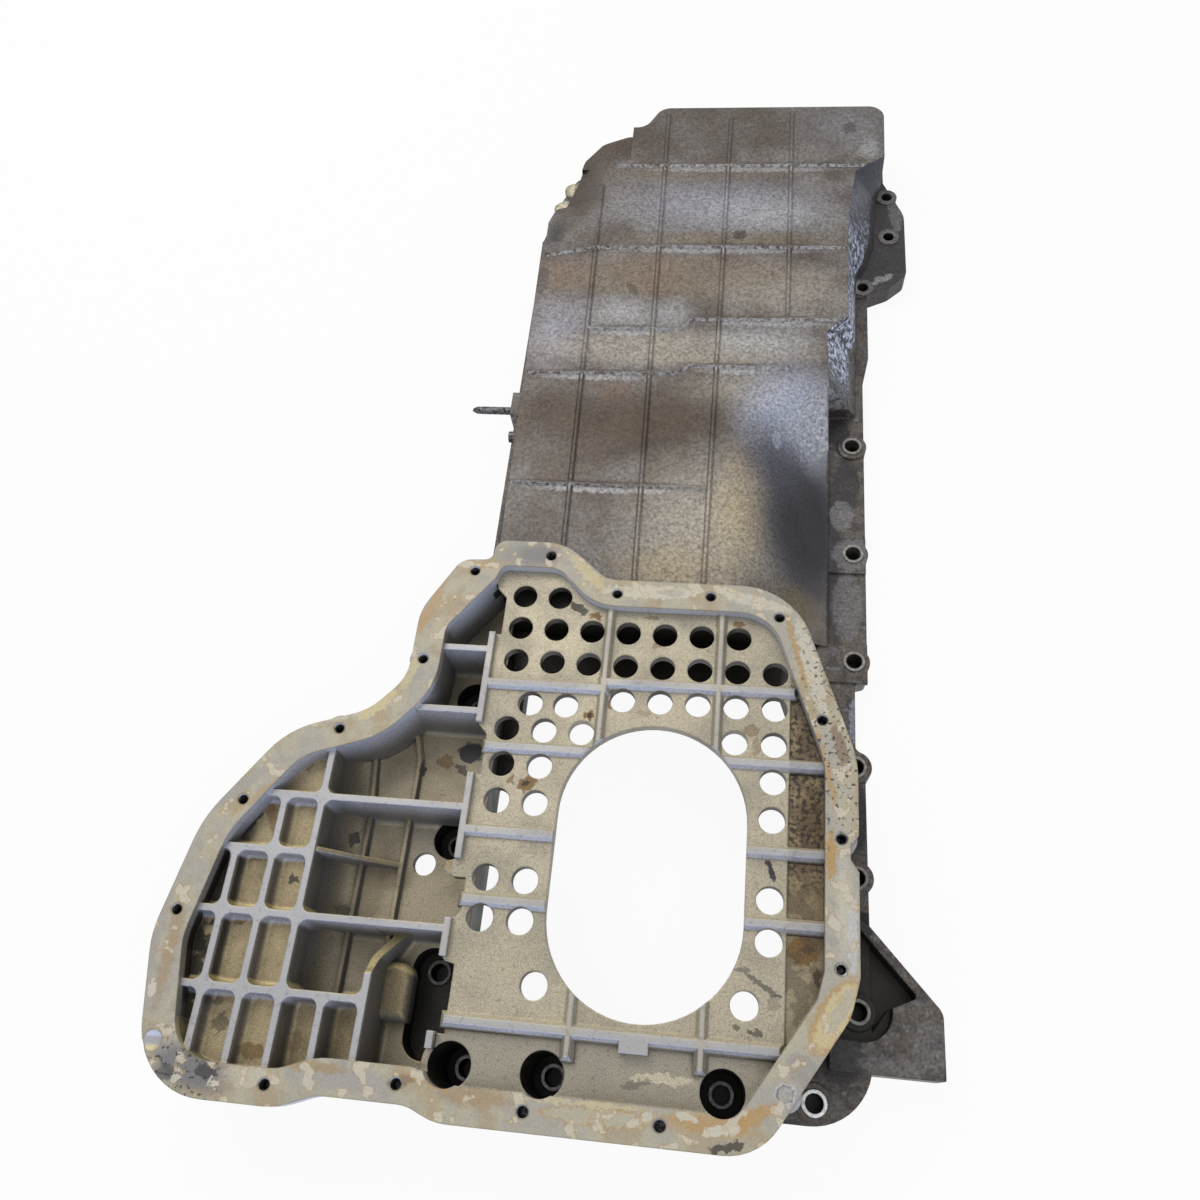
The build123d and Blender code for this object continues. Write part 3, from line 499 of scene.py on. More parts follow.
# Film, streaks and bare places of the sump flange
FLANGE_PATCHES = [
    Patch(-238, 60, 4.4, 60, Tone.FILM_GREY, 0.9, -4),
    Patch(-229, 40, 4.6, 40, Tone.FILM_BROWN, 0.8, 4),
    Patch(-212, 122, 4, 34, Tone.FILM_GREY, 0.9, -38),
    torn(-203, 118, 2, 22, Tone.TAN, 0.5, -38),
    Patch(-168, 163, 26, 3, Tone.SEALANT_PALE, 0.6, 18),
    torn(-150, 170, 14, 4.5, Tone.SEALANT_YELLOW, 0.95, 38),
    torn(-136, 190, 4, 12, Tone.SEALANT_YELLOW, 0.7, -20),
    torn(-130, 232, 3.5, 22, Tone.TAN, 0.6, -14),
    torn(-137, 228, 2.5, 22, Tone.BARE, 0.6, -12),
    torn(-100, 258, 16, 3, Tone.TAN, 0.45, 20),
    Patch(-82, 265, 28, 12, Tone.BARE, 1.0, 4),
    Patch(-74, 265, 16, 9, Tone.BARE_DARK, 0.6),
    torn(-45, 255, 18, 4, Tone.SEALANT_YELLOW, 0.7, -38),
    torn(-10, 245, 30, 4.5, Tone.SEALANT_PALE, 0.8, -1),
    torn(2, 245, 9, 2.4, Tone.FILM_GREY, 0.6),
    torn(48, 242, 22, 4, Tone.SEALANT_PALE, 0.7, -18),
    torn(78, 205, 4.5, 34, Tone.SEALANT_PALE, 0.65, 20),
    torn(70, 215, 2, 26, Tone.TAN, 0.75, 22),
    torn(93, 162, 3.4, 16, Tone.RUST, 0.7, 8),
    torn(86, 150, 2, 26, Tone.TAN, 0.7, 8),
    torn(88, 108, 2.6, 14, Tone.TAN, 0.95),
    Patch(94, 85, 5, 34, Tone.SEALANT_PALE, 0.55),
    torn(98, 72, 2.5, 20, Tone.BARE_BRIGHT, 0.55),
    torn(90, 36, 9, 22, Tone.TAN, 0.85, -28),
    torn(90, 36, 6.5, 19, Tone.SEALANT_YELLOW, 0.9, -28),
    torn(92, 38, 3.5, 14, Tone.SEALANT, 0.9, -28),
    torn(76, 12, 7, 10, Tone.BARE, 0.7, 40),
    Patch(68, 2, 12, 9, Tone.FILM_GREY, 0.9, 35),
    torn(68.3, 2, 5.4, 5.4, Tone.BARE_BRIGHT, 0.8),
    torn(68.3, 2, 4.6, 4.6, Tone.BARE_DARK, 0.9),
    Patch(54, -9, 18, 4.5, Tone.TAN, 0.9, 26),
    Patch(34, -13, 28, 6, Tone.TAN, 0.8, 6),
    torn(40, -15, 9, 2.4, Tone.SEALANT_PALE, 0.9, 20),
    torn(26, -11, 5, 2.0, Tone.SEALANT_PALE, 0.8, -15),
    torn(44, -21, 9, 2.2, Tone.OIL, 0.8, 8),
    torn(-14, -15, 28, 4.6, Tone.TAN, 0.7),
    torn(-14, -15, 26, 3.6, Tone.SEALANT, 0.95),
    torn(-28, -10, 42, 1.3, Tone.SEALANT_YELLOW, 0.7),
    Patch(-70, -12, 28, 6, Tone.FILM_BROWN, 0.9, 4),
    torn(-92, -8, 14, 1.8, Tone.TAN, 0.6, -8),
    torn(-104, -9, 7, 3, Tone.RUST, 0.6, 20),
    Patch(-132, -11, 30, 6, Tone.FILM_GREY, 0.9, 3),
    Patch(-146, -7, 24, 3.4, Tone.FILM_BROWN, 0.9, 6),
    torn(-176, -14, 16, 5, Tone.SEALANT_PALE, 0.5, 2),
    Patch(-205, -13, 28, 12, Tone.BARE_DARK, 0.95, -8),
    torn(-196, -13, 6, 4, Tone.SOOT, 0.75),
    torn(-216, -16, 6, 4, Tone.SOOT, 0.55, 30),
    torn(-191, -18, 4, 2, Tone.SEALANT_PALE, 0.95),
    torn(-210, -18, 3, 2, Tone.SEALANT_PALE, 0.8),
    torn(-233, 20, 2.2, 5, Tone.SEALANT_PALE, 0.9),
    Patch(-226, -3, 5, 5, Tone.BARE_BRIGHT, 0.85),
]

# Clouds, oil spots and crust of the baffle plate
PLATE_PATCHES = [
    Patch(-65, 45, 24, 26, Tone.PLATE, 0.35),
    Patch(-70, 118, 24, 12, Tone.PLATE_GREY, 0.25),
    Patch(0, 178, 26, 8, Tone.PLATE, 0.3),
    Patch(78, 120, 12, 38, Tone.VARNISH, 0.35),
    torn(77, 172, 6, 18, Tone.SOOT, 0.45, 18),
    torn(79, 122, 6, 24, Tone.OIL, 0.42),
    torn(76, 64, 9, 7, Tone.VARNISH, 0.95),
    torn(78, 65, 4, 2, Tone.OIL, 0.8),
    torn(83, 52, 2, 5, Tone.OIL, 0.8),
    torn(-65, 135, 6.5, 4.2, Tone.VARNISH, 0.9, 30),
    torn(-66, 135, 2.6, 1.8, Tone.OIL, 0.8, 30),
    torn(-74, 136, 2.0, 2.6, Tone.VARNISH, 0.7),
    torn(-49, 236, 7, 2.6, Tone.OIL, 0.85, -28),
    torn(-39, 232, 4, 2.2, Tone.VARNISH, 0.9),
    torn(-62, 207, 3, 2, Tone.VARNISH, 0.6),
    torn(-37, 174, 3.4, 3, Tone.VARNISH, 0.95),
    torn(-37, 174, 1.7, 1.6, Tone.OIL, 0.85),
    torn(-24, 188, 7, 2.4, Tone.OIL, 0.8, -22),
    torn(-26, 181, 3, 4, Tone.VARNISH, 0.75),
    torn(-14, 192, 3, 2, Tone.RUST, 0.8),
    torn(28, 229, 1.6, 3, Tone.RUST, 0.95),
    torn(40, 231, 3, 3, Tone.VARNISH, 0.8),
    torn(-8, 232, 4, 1.6, Tone.VARNISH, 0.6),
    torn(-4, 216, 4, 2, Tone.VARNISH, 0.6, 30),
    torn(48, 171, 5, 3.4, Tone.VARNISH, 0.55),
    torn(51, 163, 2, 6, Tone.VARNISH, 0.45),
    torn(60, 100, 1.7, 6, Tone.SOOT, 0.95, 18),
    torn(-8, 177, 5, 2, Tone.VARNISH, 0.35),
    torn(57, 47, 12, 1.3, Tone.SOOT, 0.65, -28),
    torn(48, 53, 5, 1.0, Tone.SOOT, 0.5),
    torn(-33, 13, 1.3, 6, Tone.VARNISH, 0.7),
    torn(14, 3, 16, 2.6, Tone.CREAM, 0.5, 4),
    torn(2, 0, 9, 2.0, Tone.SOOT, 0.4, 12),
    torn(55, 26, 4, 1.6, Tone.OIL, 0.7),
    torn(46, 28, 2, 1.6, Tone.OIL, 0.6),
    torn(63, 40, 3, 5, Tone.SOOT, 0.3),
    Patch(60, 18, 14, 10, Tone.KHAKI_DARK, 0.25),
]

# Varnish and crust in the cells of the wing, with painted shade beside the bump and on the cove, and one
# painted pale patch on a shaded floor
WING_PATCHES = [
    torn(-198, 108, 4, 13, Tone.VARNISH, 0.6, 28),
    torn(-203, 90, 9, 5, Tone.VARNISH, 0.65, -12),
    torn(-222, 88, 5, 5, Tone.VARNISH, 0.6),
    torn(-180, 78, 3, 2.6, Tone.SOOT, 0.85),
    torn(-188, 142, 6, 8, Tone.VARNISH, 0.55, 30),
    torn(-204, 57, 8, 3, Tone.VARNISH, 0.75),
    torn(-213, 47, 2, 2.6, Tone.SOOT, 0.8),
    torn(-200, 8, 5, 5, Tone.SOOT, 0.6),
    torn(-204, 18, 3, 3, Tone.SOOT, 0.5),
    torn(-182, -3, 8, 4, Tone.VARNISH, 0.7),
    Patch(-224, 60, 7, 60, Tone.OIL, 0.6, 0),
    torn(-216, 42, 5, 7, Tone.OIL, 0.8),
    Patch(-214, 94, 9, 26, Tone.OIL, 0.7, -20),
    torn(-210, 106, 4, 12, Tone.OIL, 0.9, -30),
    Patch(-165, 78, 9, 24, Tone.SOOT, 0.3),
    Patch(-165, 132, 9, 18, Tone.SOOT, 0.22),
    torn(-172, 88, 5, 5, Tone.SOOT, 0.8, 20),
    torn(-160, 105, 3, 5, Tone.SOOT, 0.85, -20),
    torn(-158, 68, 5, 3, Tone.SOOT, 0.6),
    torn(-171, 18, 2.4, 4, Tone.SOOT, 0.8),
    torn(-164, 3, 3.6, 6, Tone.RUST, 0.6),
    torn(-118, 152, 5, 4.4, Tone.VARNISH, 0.65),
    torn(-104, 158, 8, 6.5, Tone.SOOT, 0.95, 20),
    torn(-108, 148, 6, 2.4, Tone.SOOT, 0.7, -30),
    torn(-129, 146, 1.6, 3.4, Tone.SOOT, 0.9),
    Patch(-101, 190, 11, 14, Tone.SOOT, 0.85),
    Patch(-116, 240, 16, 24, Tone.SOOT, 0.6, 40),
    Patch(-122, 198, 10, 20, Tone.SOOT, 0.4, 14),
    # Painted shade beside the bump
    Patch(-123, 30, 13, 22, Tone.KHAKI_DARK, 0.75),
    # Painted light on a shaded floor
    faded(-120, 106, 16, 16, Tone.ROOF_BEIGE, 0.6),
    # Darker khaki on the cove's right part: painted shade with oil
    Patch(-146, 80, 9, 40, Tone.KHAKI_DARK, 0.4),
]

# Clouds and stains of the shallow part and soot in its scoop, with painted light and shade: pale and bluish
# bands where its wavy panels tilt, painted shade on the far-left slope, and a painted bluish glint in the
# scoop
ROOF_PATCHES = [
    Patch(10, 636, 130, 40, Tone.ROOF_DARK, 0.6),
    faded(100, 636, 46, 40, Tone.BARE_DARK, 0.8),
    torn(103, 633, 5, 7, Tone.SOOT, 0.55),
    faded(118, 612, 12, 18, Tone.ROOF_PALE, 0.5),
    faded(14, 557, 110, 40, Tone.ROOF_BLUE, 0.95),
    faded(50, 548, 70, 26, Tone.ROOF_PALE, 0.55),
    Patch(0, 588, 100, 11, Tone.ROOF_BROWN, 0.5),
    Patch(20, 526, 100, 9, Tone.ROOF_BROWN, 0.6),
    torn(29, 529, 6, 5, Tone.OIL, 0.6),
    # Painted shade on the far-left slope
    faded(-88, 572, 24, 46, Tone.ROOF_BAND, 0.95, 20),
    faded(-100, 535, 12, 34, Tone.SOOT, 0.8),
    faded(-60, 628, 40, 30, Tone.ROOF_BAND, 0.8),
    Patch(-10, 492, 120, 27, Tone.ROOF_BROWN, 0.8),
    faded(-26, 492, 30, 30, Tone.RUST, 0.25),
    faded(-92, 490, 26, 24, Tone.RUST, 0.4),
    torn(-40, 480, 3, 8, Tone.OIL, 0.4, 30),
    torn(-102, 487, 6, 14, Tone.SOOT, 0.4),
    faded(60, 478, 70, 34, Tone.ROOF_BEIGE, 0.6),
    faded(-46, 460, 40, 22, Tone.ROOF_PALE, 0.6),
    faded(-12, 458, 24, 22, Tone.ROOF_PALE, 0.4),
    faded(-88, 444, 30, 44, Tone.ROOF_BLUE, 0.9),
    Patch(-5, 430, 120, 19, Tone.ROOF_BEIGE, 0.75),
    faded(45, 438, 60, 19, Tone.ROOF_PALE, 0.55),
    Patch(10, 436, 12, 16, Tone.ROOF_BROWN, 0.35),
    faded(30, 398, 50, 22, Tone.ROOF_BEIGE, 0.6),
    faded(-40, 372, 130, 46, Tone.ROOF_BAND, 0.95),
    faded(-85, 384, 34, 24, Tone.ROOF_BAND, 0.7),
    faded(-15, 370, 60, 24, Tone.ROOF_BAND, 0.7, 15),
    faded(-30, 352, 60, 8, Tone.OIL, 0.3, 15),
    faded(-44, 397, 24, 9, Tone.RUST, 0.35),
    faded(-84, 285, 34, 34, Tone.ROOF_DARK, 0.6),
    faded(-104, 600, 40, 50, Tone.SOOT, 0.6),
    faded(-92, 604, 60, 46, Tone.ROOF_BAND, 0.9),
    faded(18, 300, 70, 70, Tone.ROOF_BEIGE, 0.95),
    faded(0, 268, 50, 30, Tone.KHAKI, 0.5),
    faded(36, 310, 26, 60, Tone.KHAKI, 0.55),
    # Painted bluish glint in the scoop
    faded(64, 384, 44, 54, Tone.SHEEN, 0.8, -18),
    Patch(78, 316, 40, 68, Tone.SLATE, 0.9, 6),
    Patch(78, 314, 30, 54, Tone.SOOT, 0.95, 6),
    faded(58, 350, 26, 40, Tone.SLATE, 0.8, 15),
    torn(58, 366, 3, 7, Tone.SHEEN, 0.4, 15),
    faded(82, 372, 16, 26, Tone.SHEEN, 0.35),
    faded(72, 258, 20, 22, Tone.KHAKI_DARK, 0.9, 30),
]

# Soot, oil and bare places of the block flange and the ears, with cream far-left pads that are partly a
# painted highlight, and a painted glint on the right rail
RAIL_PATCHES = [
    # Pads at the far left: cream, partly a painted highlight
    Patch(-103, 588, 10, 10, Tone.CREAM, 0.8),
    Patch(-96, 608, 10, 10, Tone.CREAM, 0.8),
    Patch(94, 300, 9, 84, Tone.SOOT, 0.9),
    torn(103, 352, 9, 22, Tone.SOOT, 0.75),
    torn(100, 330, 8, 12, Tone.BARE_DARK, 0.6),
    torn(98, 392, 9, 12, Tone.SOOT, 0.9),
    torn(103, 268, 10, 26, Tone.BARE_DARK, 0.45),
    torn(106, 302, 13, 12, Tone.BARE_DARK, 0.5),
    torn(108, 142, 6, 20, Tone.SOOT, 0.8),
    # Painted bluish glint on the right rail
    torn(108, 196, 5, 16, Tone.SHEEN, 0.4),
    torn(108, 80, 6, 14, Tone.SOOT, 0.9),
    torn(98, 22, 12, 14, Tone.SOOT, 0.8),
    torn(104, 40, 14, 12, Tone.OIL, 0.95),
    Patch(128, 560, 44, 90, Tone.SOOT, 0.85),
    torn(139, 590, 6, 30, Tone.BARE_DARK, 0.5),
    torn(128, 520, 10, 3, Tone.ROOF_PALE, 0.5, 30),
    torn(140, 30, 10, 14, Tone.BARE_DARK, 0.25),
    torn(120, 20, 18, 5, Tone.BARE_DARK, 0.3),
    Patch(-108, 330, 6, 120, Tone.SOOT, 0.7),
]

# Painted shade and dirt behind each roof rib: X of its middle, Y of the rib, and half its length
ROOF_RIB_SHADES = [
    (30, 592.3, 90), (20, 515.6, 85), (-40, 443.5, 28), (50, 452.8, 50), (-55, 407.0, 45), (30, 413.8, 30),
    (-45, 322.8, 58),
]

# Painted highlight on the near side of each roof rib's top: X of its two ends, and Y
ROOF_RIB_HIGHLIGHTS = [
    (-61, 120, 592.3), (-66, 100, 515.6), (-66, -12, 443.5), (2, 100, 452.8),
    (-100, -12, 407.0), (2, 62, 413.8), (-102, 14, 322.8),
]


@dataclass(frozen=True)
class OilyCastAluminium:
    """Die-cast aluminium with its own skin, dried sealant on the flange, and old oil.

    The eye reads it by the fine sandy grain of the die skin, the pale ragged film on the machined flange,
    the brown oil varnish in the low places, and painted highlights on the rib edges with painted shade in
    its crevices.
    """

    grain_mm: float = 0.65
    sand_mm: float = 1.7
    pore_mm: float = 2.2
    cloud_mm: float = 26.0
    edge_mm: float = 1.2
    shade_and_grime_mm: float = 9.0
    streak_mm: float = 9.0
    film_lump_mm: float = 24.0
    tooth_mm: float = 3.2
    stray_mm: float = 3.4
    relief_mm: float = 0.16
    metallic: float = 0.35
    roughness: Range = (0.42, 0.6)
    film_metallic: float = 0.05
    film_roughness: float = 0.62

    def zones(self, coat: Coat) -> dict[str, Socket]:
        """Masks of the casting's differently finished areas.

        Args:
            coat: The finish being grown.

        Returns:
            Each zone's name and mask.
        """
        up = coat.ramp(coat.facing_z, 0.55, 0.85)
        steep = coat.ramp(coat.facing_z, 0.75, 0.35)
        below = coat.ramp(coat.z, RAIL_Z + 0.4, RAIL_Z - 0.4)
        under = coat.either(below, coat.ramp(coat.facing_z, 0.25, 0.05))
        left_room = coat.inside(LEFT_ROOM)
        near_room = coat.inside(NEAR_ROOM)
        off_rail = coat.inside(OFF_RAIL)
        scoop = coat.inside(SCOOP)
        seat = coat.either(*[
            coat.inside(Area(z=(level - SEAT_REACH, level + SEAT_REACH), soft=0.15))
            for level in [RAIL_Z + height for height in SEAT_HEIGHTS]
        ])
        return {
            "up": up,
            "steep": steep,
            "wing": coat.inside(WING),
            "wing_low": coat.inside(WING_CELLS),
            "plate": coat.inside(PLATE),
            "flange": coat.ramp(coat.z, FLANGE_Z - 0.5, FLANGE_Z - 0.1),
            # Hollows inside the casting, painted near-black as painted shade
            "room": coat.either(
                left_room, near_room, coat.inside(UNDER_FAR_WALL), coat.both(coat.inside(CHAMBERS), under)),
            "rail": coat.both(coat.ramp(coat.z, EAR_TOP_Z, EAR_TOP_Z - 1.2), coat.ramp(scoop, 0.6, 0.4)),
            "seat": coat.both(seat, up, coat.ramp(off_rail, 0.6, 0.4)),
            "roof": coat.both(coat.inside(ROOF_LEVELS), coat.ramp(coat.y, ROOF_NEAR_Y, ROOF_NEAR_Y + 4)),
        }

    def colour(self, coat: Coat, zone: dict[str, Socket]) -> None:
        """Colour of every area with its stains and wear, and with painted light and shade.

        Args:
            coat: The finish being grown.
            zone: Masks of the areas, and the random fields.
        """
        for lay_area in (self.roof, self.rail, self.wing, self.plate, self.flange):
            lay_area(coat, zone)
        # Painted shade: the hollows seen through the plate's holes are laid near-black
        coat.lay(Tone.OIL, zone["room"], 0.96)
        dull = coat.inside(FRONT_EAR)
        coat.lay(Tone.BARE, zone["seat"], 0.85)
        # Painted light: the seats in the nearest deep tubes are whitened against their shade
        coat.lay(Tone.WHITE, zone["seat"], coat.ramp(coat.y, 13, 11))
        coat.lay(Tone.SOOT, zone["seat"], dull, 0.6)

    def rail(self, coat: Coat, zone: dict[str, Socket]) -> None:
        """Block flange and ears, mottled by old oil and soot, with the ear's pocket laid near-black as oil
        and painted shade.

        Args:
            coat: The finish being grown.
            zone: Masks of the areas, and the random fields.
        """
        rail = zone["rail"]
        coat.lay(Tone.EAR, rail, 0.9)
        blotch = coat.ramp(coat.grain(7.0, 5.0), 0.5, 0.6)
        coat.lay(Tone.SOOT, rail, blotch, 0.55)
        bare = coat.ramp(coat.grain(4.0, 5.0), 0.56, 0.66)
        coat.lay(Tone.BARE_DARK, rail, bare, 0.6)
        coat.lay_patches(RAIL_PATCHES, rail)
        # The ear's pocket: near-black oil with painted shade
        pocket = coat.both(coat.inside(EAR_POCKET), rail)
        coat.lay(Tone.OIL, pocket, 0.96)

    def roof(self, coat: Coat, zone: dict[str, Socket]) -> None:
        """Grey-brown die skin of the shallow part, with painted highlights and shade on its rib slopes and a
        painted glint on its right slope.

        Args:
            coat: The finish being grown.
            zone: Masks of the areas, and the random fields.
        """
        coat.colour = coat.mix(
            coat.ramp(zone["cloud"], 0.35, 0.65), linear(Tone.ROOF_DARK.value), linear(Tone.ROOF.value))
        coat.lay_patches(ROOF_PATCHES, coat.ramp(coat.y, ROOF_NEAR_Y, ROOF_NEAR_Y + 6))
        # Painted highlight along each roof rib, and painted shade with dirt behind it
        rib_light_and_shade = [
            Patch((x0 + x1) / 2, y - 1.0, (x1 - x0) / 2 + 3, 3.2, Tone.ROOF_PALE, 0.55)
            for x0, x1, y in ROOF_RIB_HIGHLIGHTS
        ]
        rib_light_and_shade += [Patch(x, y + 4.2, r, 2.4, Tone.ROOF_BAND, 0.5) for x, y, r in ROOF_RIB_SHADES]
        coat.lay_patches(rib_light_and_shade, coat.both(zone["roof"], zone["up"]))
        # Painted highlight on near-facing rib slopes, broken up by noise; painted shade with dirt on
        # far-facing slopes and painted shade on left-facing ones
        highlight_breakup = coat.ramp(coat.grain(3.0, 5.0), 0.38, 0.55)
        near_slope = coat.both(coat.ramp(coat.facing_y, -0.2, -0.5), zone["roof"])
        far_slope = coat.both(coat.ramp(coat.facing_y, 0.2, 0.45), zone["roof"])
        left_slope = coat.both(
            coat.ramp(coat.facing_x, -0.2, -0.45), zone["roof"], coat.ramp(coat.z, ROOF_Z - 1, ROOF_Z + 0.2))
        coat.lay(Tone.ROOF_PALE, near_slope, highlight_breakup, 0.8)
        coat.lay(Tone.OIL, far_slope, 0.6)
        coat.lay(Tone.OIL, left_slope, 0.2)
        # Right slope: dark slate base with painted bluish glint specks, darker towards its top end, and
        # painted shade at its low end
        glint_specks = coat.ramp(coat.grain(3.4, 9.0), 0.4, 0.66)
        right_slope = coat.both(coat.ramp(coat.facing_x, 0.25, 0.5), coat.inside(RIGHT_SLOPE))
        shaded_low_end = coat.ramp(coat.y, 432, 408)
        top_end = coat.both(coat.ramp(coat.y, 530, 556), coat.ramp(coat.z, 20, 34))
        coat.lay(Tone.SLATE, right_slope, 0.95)
        coat.lay(Tone.LAVENDER, right_slope, glint_specks, coat.ramp(coat.y, 600, 510), 0.9)
        coat.lay(Tone.SLATE, right_slope, top_end, 0.6)
        coat.lay(Tone.SOOT, right_slope, shaded_low_end, 0.85)

    def wing(self, coat: Coat, zone: dict[str, Socket]) -> None:
        """Khaki floors, cool walls and pale rib tops of the wing, with painted shade on right-facing walls
        and painted cool and warm highlights on near- and far-facing faces.

        Args:
            coat: The finish being grown.
            zone: Masks of the areas, and the random fields.
        """
        wing = zone["wing"]
        coat.lay(Tone.KHAKI, wing)
        low = coat.ramp(coat.z, WING_Z + 8, WING_Z + 2)
        coat.lay(Tone.PLATE_GREY, wing, low, 0.55)
        coat.lay(Tone.KHAKI_DARK, wing, coat.ramp(zone["cloud"], 0.5, 0.7), 0.45)
        # Cove: painted light on its steep upper part, painted shade with oil towards its flat right part
        cove = coat.inside(CURVED_COVE)
        cove_wall = coat.ramp(coat.z, WING_Z + 3, WING_Z + 12)
        coat.lay(Tone.ROOF_BEIGE, cove, cove_wall, 0.7)
        coat.lay(Tone.CELL_SHADE, cove, coat.ramp(coat.x, -160, -151), 0.45)
        coat.lay_patches(WING_PATCHES, zone["wing_low"])
        caked = coat.both(coat.inside(CAKED_CELLS), coat.ramp(zone["streak"], 0.38, 0.48))
        coat.lay(Tone.OIL, zone["wing_low"], caked, 0.9)
        wall = coat.both(wing, zone["steep"])
        coat.lay(Tone.WING_WALL, wall, 0.75)
        # Painted shade on right-facing walls; black crust on some of them
        right_face = coat.both(zone["wing_low"], coat.ramp(coat.soft_x, 0.35, 0.8))
        coat.lay(Tone.CELL_SHADE, right_face, 0.6)
        crust = coat.both(
            right_face, coat.inside(CRUSTED_WALL), coat.ramp(coat.z, FLANGE_Z - 0.5, FLANGE_Z - 1.5))
        coat.lay(Tone.OIL, crust, 0.95)
        # Painted cool light on near-facing walls, with a painted lavender reflection high up
        near_face = coat.both(wing, coat.ramp(coat.soft_y, -0.15, -0.6))
        coat.lay(Tone.WING_WALL, near_face, 0.5)
        coat.lay(Tone.LAVENDER, near_face, coat.ramp(coat.z, WING_Z + 8, RIB_TOP_Z - 0.5), 0.8)
        # Painted warm highlight on far-facing fillets at the cells' feet
        lip = coat.both(coat.ramp(coat.soft_y, 0.15, 0.4), coat.ramp(coat.soft_y, 0.95, 0.75))
        coat.lay(Tone.GOLD, zone["wing_low"], lip, 0.8)
        top = coat.both(wing, zone["up"], coat.ramp(coat.z, RIB_TOP_Z - 1, RIB_TOP_Z - 0.3))
        coat.lay(Tone.RIB_TOP, top, 0.92)
        self.edges(coat, wing)

    def edges(self, coat: Coat, where: Socket) -> None:
        """Cool shine on the near edge of each rib, and a warm one on its far edge.

        Args:
            coat: The finish being grown.
            where: Mask of the ribs' area.
        """
        high = coat.both(where, coat.ramp(coat.z, PLATE_Z + 1.5, RIB_TOP_Z - 0.5))
        coat.lay(Tone.LAVENDER, high, coat.ramp(coat.soft_y, -0.12, -0.4), 0.85)
        coat.lay(Tone.GOLD, high, coat.ramp(coat.soft_y, 0.12, 0.4), 0.7)

    def plate(self, coat: Coat, zone: dict[str, Socket]) -> None:
        """Warm sandy plate with its darker strip and oil spots, painted cool sheen on near rib flanks,
        painted warm highlight on far ones, and painted shade on its near floor, right-facing sides and
        bores.

        Args:
            coat: The finish being grown.
            zone: Masks of the areas, and the random fields.
        """
        plate = zone["plate"]
        coat.lay(Tone.PLATE, plate)
        coat.lay(Tone.PLATE_GREY, plate, coat.ramp(zone["cloud"], 0.4, 0.65), 0.5)
        strip = coat.both(plate, coat.ramp(coat.x, STRIP_X - 0.5, STRIP_X + 0.5))
        coat.lay(Tone.STRIP, strip, 0.75)
        # The near floor is painted darker, as painted shade
        near_floor = coat.both(plate, coat.ramp(coat.y, NEAR_FLOOR_FAR_Y, NEAR_FLOOR_FAR_Y - 1))
        coat.lay(Tone.PLATE_GREY, near_floor, 0.8)
        coat.lay_patches(PLATE_PATCHES, coat.both(plate, zone["up"]))
        dirt = coat.ramp(coat.grain(2.4, 8.0), 0.47, 0.6)
        spray = coat.both(strip, dirt, coat.inside(SPRAYED_STRIP))
        coat.lay(Tone.VARNISH, strip, coat.inside(VARNISHED_STRIP), 0.45)
        coat.lay(Tone.ROOF_BAND, strip, coat.ramp(zone["streak"], 0.54, 0.44), 0.5)
        coat.lay(Tone.OIL, spray, 0.85)
        crest = coat.both(plate, zone["up"], coat.ramp(coat.z, RIB_TOP_Z - 1, RIB_TOP_Z - 0.3))
        coat.lay(Tone.RIB_TOP, crest, 0.7)
        upright = coat.either(*[coat.inside(area) for area in UPRIGHT_RIBS])
        coat.lay(Tone.PLATE, crest, upright, 0.5)
        # Painted cool sheen on near-facing rib flanks, stronger to the left
        flank = coat.both(plate, coat.ramp(coat.soft_y, -0.15, -0.45))
        coat.lay(Tone.WING_WALL, flank, 0.4)
        shine = coat.ramp(coat.z, PLATE_Z + 0.3, PLATE_Z + 1.2)
        coat.lay(Tone.LAVENDER, flank, shine, coat.ramp(coat.x, 200, -40))
        # Painted warm highlight on far-facing slopes
        back = coat.both(plate, coat.ramp(coat.soft_y, 0.15, 0.45))
        coat.lay(Tone.CREAM, back, 0.75)
        # Painted shade on right-facing sides
        side = coat.both(plate, coat.ramp(coat.soft_x, 0.2, 0.5))
        coat.lay(Tone.WING_WALL, side, 0.2)
        # Painted shade in the bores of the plate's holes
        bore = coat.both(
            plate, zone["steep"], coat.ramp(coat.z, PLATE_Z - 0.1, PLATE_Z - 0.4), coat.either(
                coat.ramp(coat.y, 170, 176), coat.ramp(coat.x, -50, -54), coat.ramp(coat.x, 50, 54)))
        coat.lay(Tone.OIL, bore, 0.85)
        wall = coat.both(
            plate, zone["steep"], coat.ramp(coat.z, PLATE_Z + 1, FLANGE_Z - 1),
            coat.ramp(zone["fine"], 0.3, 0.5))
        coat.lay(Tone.BARE_BRIGHT, wall, 0.5)

